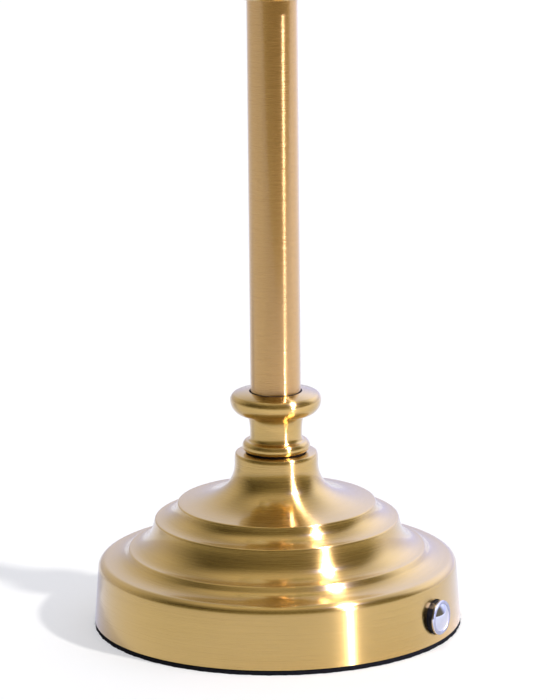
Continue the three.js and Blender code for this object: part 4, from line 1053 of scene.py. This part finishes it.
# Where one stretch fades into the next, in degrees: bearings to the right of the viewer, then heights.
ROOM_LEFT_EDGE = (-135, -65)
ROOM_RIGHT_EDGE = (122, 90)
ROOM_ACROSS = (-80, 30)
RIGHT_WALL_NEAR = (0, 60)
RIGHT_WALL_FAR = (214, 140)
RIGHT_WALL_BEHIND = (-156, -218)
ROOM_FLOOR_EDGE = (-4, 4)
WALL_RISE = (2, 26)
WALL_DIMMED = (30, 58)
CEILING_EDGE = (38, 82)
OVERHEAD_EDGE = (76, 88)
WALL_DIMMING = 0.5
world = bpy.data.worlds.new("studio")
bpy.context.scene.world = world
world.use_nodes = True
sky = world.node_tree
direction = node(sky, "ShaderNodeTexCoord").outputs["Generated"]
forward = vector_node(sky, "DOT_PRODUCT", direction, towards_viewer)
aside = vector_node(sky, "DOT_PRODUCT", direction, viewer_right)
sky_bearing = math_node(sky, "ARCTAN2", aside, forward)
sky_height = math_node(sky, "ARCSINE", node(sky, "ShaderNodeSeparateXYZ", {0: direction}).outputs["Z"])


def fade(value, edge):
    """From 0 to 1 as an angle goes from the start to the end of an edge, in degrees."""
    start, end = [math.radians(part) for part in edge]
    return map_range(sky, value, start, end, kind="SMOOTHSTEP")


room_share = math_node(sky, "MULTIPLY", fade(sky_bearing, ROOM_LEFT_EDGE), fade(sky_bearing, ROOM_RIGHT_EDGE))
right_side = math_node(sky, "MULTIPLY", fade(sky_bearing, RIGHT_WALL_NEAR), fade(sky_bearing, RIGHT_WALL_FAR))
right_share = math_node(sky, "ADD", right_side, fade(sky_bearing, RIGHT_WALL_BEHIND))
low_walls = blend_colours(sky, right_share, LEFT_WALL_LOW, RIGHT_WALL_LOW)
high_walls = blend_colours(sky, right_share, LEFT_WALL_HIGH, RIGHT_WALL_HIGH)
walls = blend_colours(sky, fade(sky_height, WALL_RISE), low_walls, high_walls)
upper_dimming = math_node(sky, "MULTIPLY", fade(sky_height, WALL_DIMMED), WALL_DIMMING)
sides = blend_colours(sky, upper_dimming, walls, BLACK)
room_walls = blend_colours(sky, fade(sky_bearing, ROOM_ACROSS), ROOM_LEFT, ROOM_RIGHT)
room = blend_colours(sky, fade(sky_height, ROOM_FLOOR_EDGE), ROOM_FLOOR, room_walls)
around_lamp = blend_colours(sky, room_share, sides, room)
below_overhead = blend_colours(sky, fade(sky_height, CEILING_EDGE), around_lamp, CEILING)
surroundings = blend_colours(sky, fade(sky_height, OVERHEAD_EDGE), below_overhead, OVERHEAD)
sky_rays = node(sky, "ShaderNodeLightPath").outputs
mirrored = math_node(sky, "MAXIMUM", sky_rays["Is Glossy Ray"], sky_rays["Is Transmission Ray"])
ambient = blend_colours(sky, room_share, AMBIENT_BACK, AMBIENT_FRONT)
lit = blend_colours(sky, mirrored, ambient, surroundings)
seen = blend_colours(sky, sky_rays["Is Camera Ray"], lit, WHITE)
background = sky.nodes["Background"]
sky.links.new(seen, background.inputs["Color"])
background.inputs["Strength"].default_value = 1.0

# Lamps
# A sun at the front right lights dull surfaces and throws the shadow. Two small lamps on the same side show
# only as the bright line in the brass: the high one all along it, the low one on the base and the spool.
KEY_BEARING = math.radians(57.5)
KEY_HEIGHT = math.radians(40.0)
KEY_WIDTH = math.radians(4.0)
KEY_POWER = 2.3
KEY_COLOUR = (1.0, 0.97, 0.91)
GLINT_COLOUR = (1.0, 0.97, 1.60)
GLINT_AWAY = 0.43
# Name, bearing from the viewer, height, the height on the axis that it points at, spread, size and power.
GLINTS = (
    ("glint_high", math.radians(57.5), 0.57, 0.15, math.radians(100), 0.023, 46.0),
    ("glint_low", math.radians(43.0), 0.05, -0.02, math.radians(28), 0.016, 2.2),
)


def level_way(bearing):
    """A level direction, at a bearing to the right of the viewer."""
    return towards_viewer * math.cos(bearing) + viewer_right * math.sin(bearing)


def add_lamp(light, place, way, gleam):
    """A lamp that either only lights dull surfaces or is only seen as a gleam in shiny ones."""
    lamp = add_object(light.name, light)
    lamp.location = place
    lamp.rotation_euler = way.to_track_quat("Z", "Y").to_euler()
    lamp.visible_glossy = gleam
    lamp.visible_diffuse = not gleam


key_way = level_way(KEY_BEARING) * math.cos(KEY_HEIGHT) + Vector((0.0, 0.0, math.sin(KEY_HEIGHT)))
key_light = bpy.data.lights.new("key", "SUN")
key_light.energy = KEY_POWER
key_light.color = KEY_COLOUR
key_light.angle = KEY_WIDTH
add_lamp(key_light, key_way, key_way, gleam=False)
for glint_name, bearing, glint_height, aim_height, spread, size, power in GLINTS:
    glint_light = bpy.data.lights.new(glint_name, "SPOT")
    glint_light.spot_size = spread
    glint_light.energy = power
    glint_light.color = GLINT_COLOUR
    glint_light.shadow_soft_size = size
    glint_place = level_way(bearing) * GLINT_AWAY + Vector((0.0, 0.0, glint_height))
    add_lamp(glint_light, glint_place, glint_place - Vector((0.0, 0.0, aim_height)), gleam=True)

# Camera
# The photograph's view: from the left of the button, looking down by about 14 degrees, with the picture
# turned by half a degree.
CAMERA_DISTANCE = 1.5442
CAMERA_HEIGHT = math.radians(13.734)
CAMERA_ROLL = math.radians(0.55)
PICTURE_HEIGHT_PX = 700
METRES_PER_PIXEL = 0.00031694
AIM_LEVEL = 0.0895
AIM_ASIDE = -0.00055
SENSOR_HEIGHT = 36.0
camera_aim = Vector((0.0, 0.0, AIM_LEVEL)) + viewer_right * AIM_ASIDE
camera_way = towards_viewer * math.cos(CAMERA_HEIGHT) + Vector((0.0, 0.0, math.sin(CAMERA_HEIGHT)))
camera_data = bpy.data.cameras.new("camera")
camera_data.sensor_fit = "VERTICAL"
camera_data.sensor_height = SENSOR_HEIGHT
camera_data.lens = SENSOR_HEIGHT * CAMERA_DISTANCE / (PICTURE_HEIGHT_PX * METRES_PER_PIXEL)
camera = add_object("camera", camera_data)
camera.location = camera_aim + camera_way * CAMERA_DISTANCE
upright = camera_way.to_track_quat("Z", "Y").to_matrix()
camera.rotation_euler = (upright @ Matrix.Rotation(-CAMERA_ROLL, 3, "Z")).to_euler()
bpy.context.scene.camera = camera
bpy.context.scene.view_settings.view_transform = "Standard"
